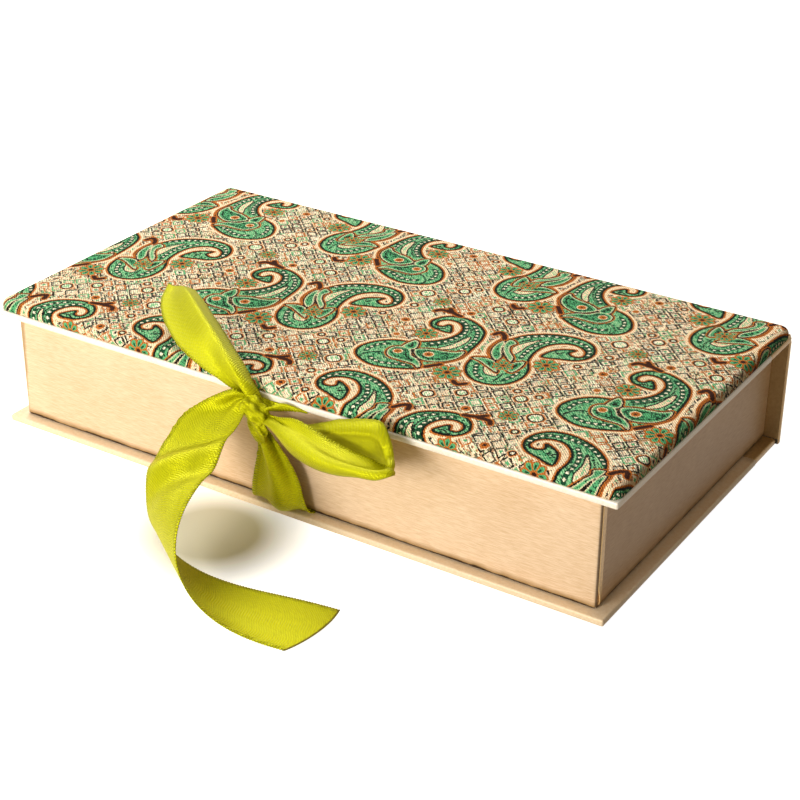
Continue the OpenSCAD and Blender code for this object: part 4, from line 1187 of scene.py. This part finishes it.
# Floor and light. A pale floor, a low soft lamp in front, two smaller ones on the left, one near
# and one behind, and a surround that is darker and warmer on the right. To the camera the lit
# floor is white, and it keeps the shadow of the bow.
FLOOR_HALF = 6.0
FLOOR_LIT = (0.78, 0.73, 0.54)
# The dim floor colour is painted shade: the floor right of the box, where the box's shadow falls.
FLOOR_DIM = (0.24, 0.18, 0.1)
SHADOW_PLACE = (-0.012, -0.098, 0)
SHADOW_REACH = (0.016, 0.038)
BRIGHT_SIDE = (-0.62, -0.55, 0.56)
DIM_GLOW = (1, 0.66, 0.34)


def seen_directly(tree):
    """1 for what the camera sees, straight or mirrored in a gloss or through a clear piece."""
    paths = add_node(tree, "LightPath").node.outputs
    return calc(tree, "MAXIMUM", paths["Is Camera Ray"],
                calc(tree, "MAXIMUM", paths["Is Glossy Ray"], paths["Is Transmission Ray"]))


floor_points = np.array([[-1, -1, 0], [1, -1, 0], [1, 1, 0], [-1, 1, 0]]) * FLOOR_HALF
floor = make_object("floor", floor_points, [[0, 1, 2, 3]])
floor_material, tree, shader = new_material("floor")
shader.inputs["Roughness"].default_value = 0.9
shader.inputs["Specular IOR Level"].default_value = 0.1
shader.inputs["Emission Color"].default_value = (1, 1, 1, 1)
place = object_place(tree)
across = split(tree, place)[0]
# Right of the box the floor's colour is painted darker. This painted shade stands for the box's shadow
# there and dims the light that the floor throws back onto the box's right side.
tree.links.new(blend_colours(tree, ramp(tree, across, 0.0, 0.14), FLOOR_LIT, FLOOR_DIM),
               shader.inputs["Base Color"])
away = vector_calc(tree, "DISTANCE", place, SHADOW_PLACE, out=1)
tree.links.new(times(tree, seen_directly(tree), ramp(tree, away, *SHADOW_REACH)),
               shader.inputs["Emission Strength"])
floor.data.materials.append(floor_material)

LAMPS = [("front", (-0.25, -1.4, 0.38), 0.6, 19), ("left", (-0.4, -0.05, 0.55), 0.4, 1.5),
         ("back", (-0.4, 0.45, 0.7), 0.4, 4.9)]
for lamp_name, lamp_place, lamp_size, power in LAMPS:
    lamp_data = bpy.data.lights.new(lamp_name, "AREA")
    lamp_data.shape = "SQUARE"
    lamp_data.size = lamp_size
    lamp_data.energy = power
    lamp = bpy.data.objects.new(lamp_name, lamp_data)
    lamp.location = lamp_place
    lamp.rotation_euler = (-Vector(lamp_place)).to_track_quat("-Z", "Y").to_euler()
    bpy.context.scene.collection.objects.link(lamp)

world = bpy.data.worlds.new("surround")
world.use_nodes = True
bpy.context.scene.world = world
tree = world.node_tree
towards = vector_calc(tree, "DOT_PRODUCT", add_node(tree, "TexCoord"), BRIGHT_SIDE, out=1)
glow = ramp(tree, towards, -0.6, 0.9, 0.03, 0.4)
direct = seen_directly(tree)
backdrop = tree.nodes["Background"]
tree.links.new(calc(tree, "MAXIMUM", glow, direct), backdrop.inputs["Strength"])
warmth = calc(tree, "MAXIMUM", ramp(tree, towards, -0.3, 0.6), direct)
tree.links.new(blend_colours(tree, warmth, DIM_GLOW, (1, 1, 1)), backdrop.inputs["Color"])
bpy.context.scene.view_settings.view_transform = "Standard"
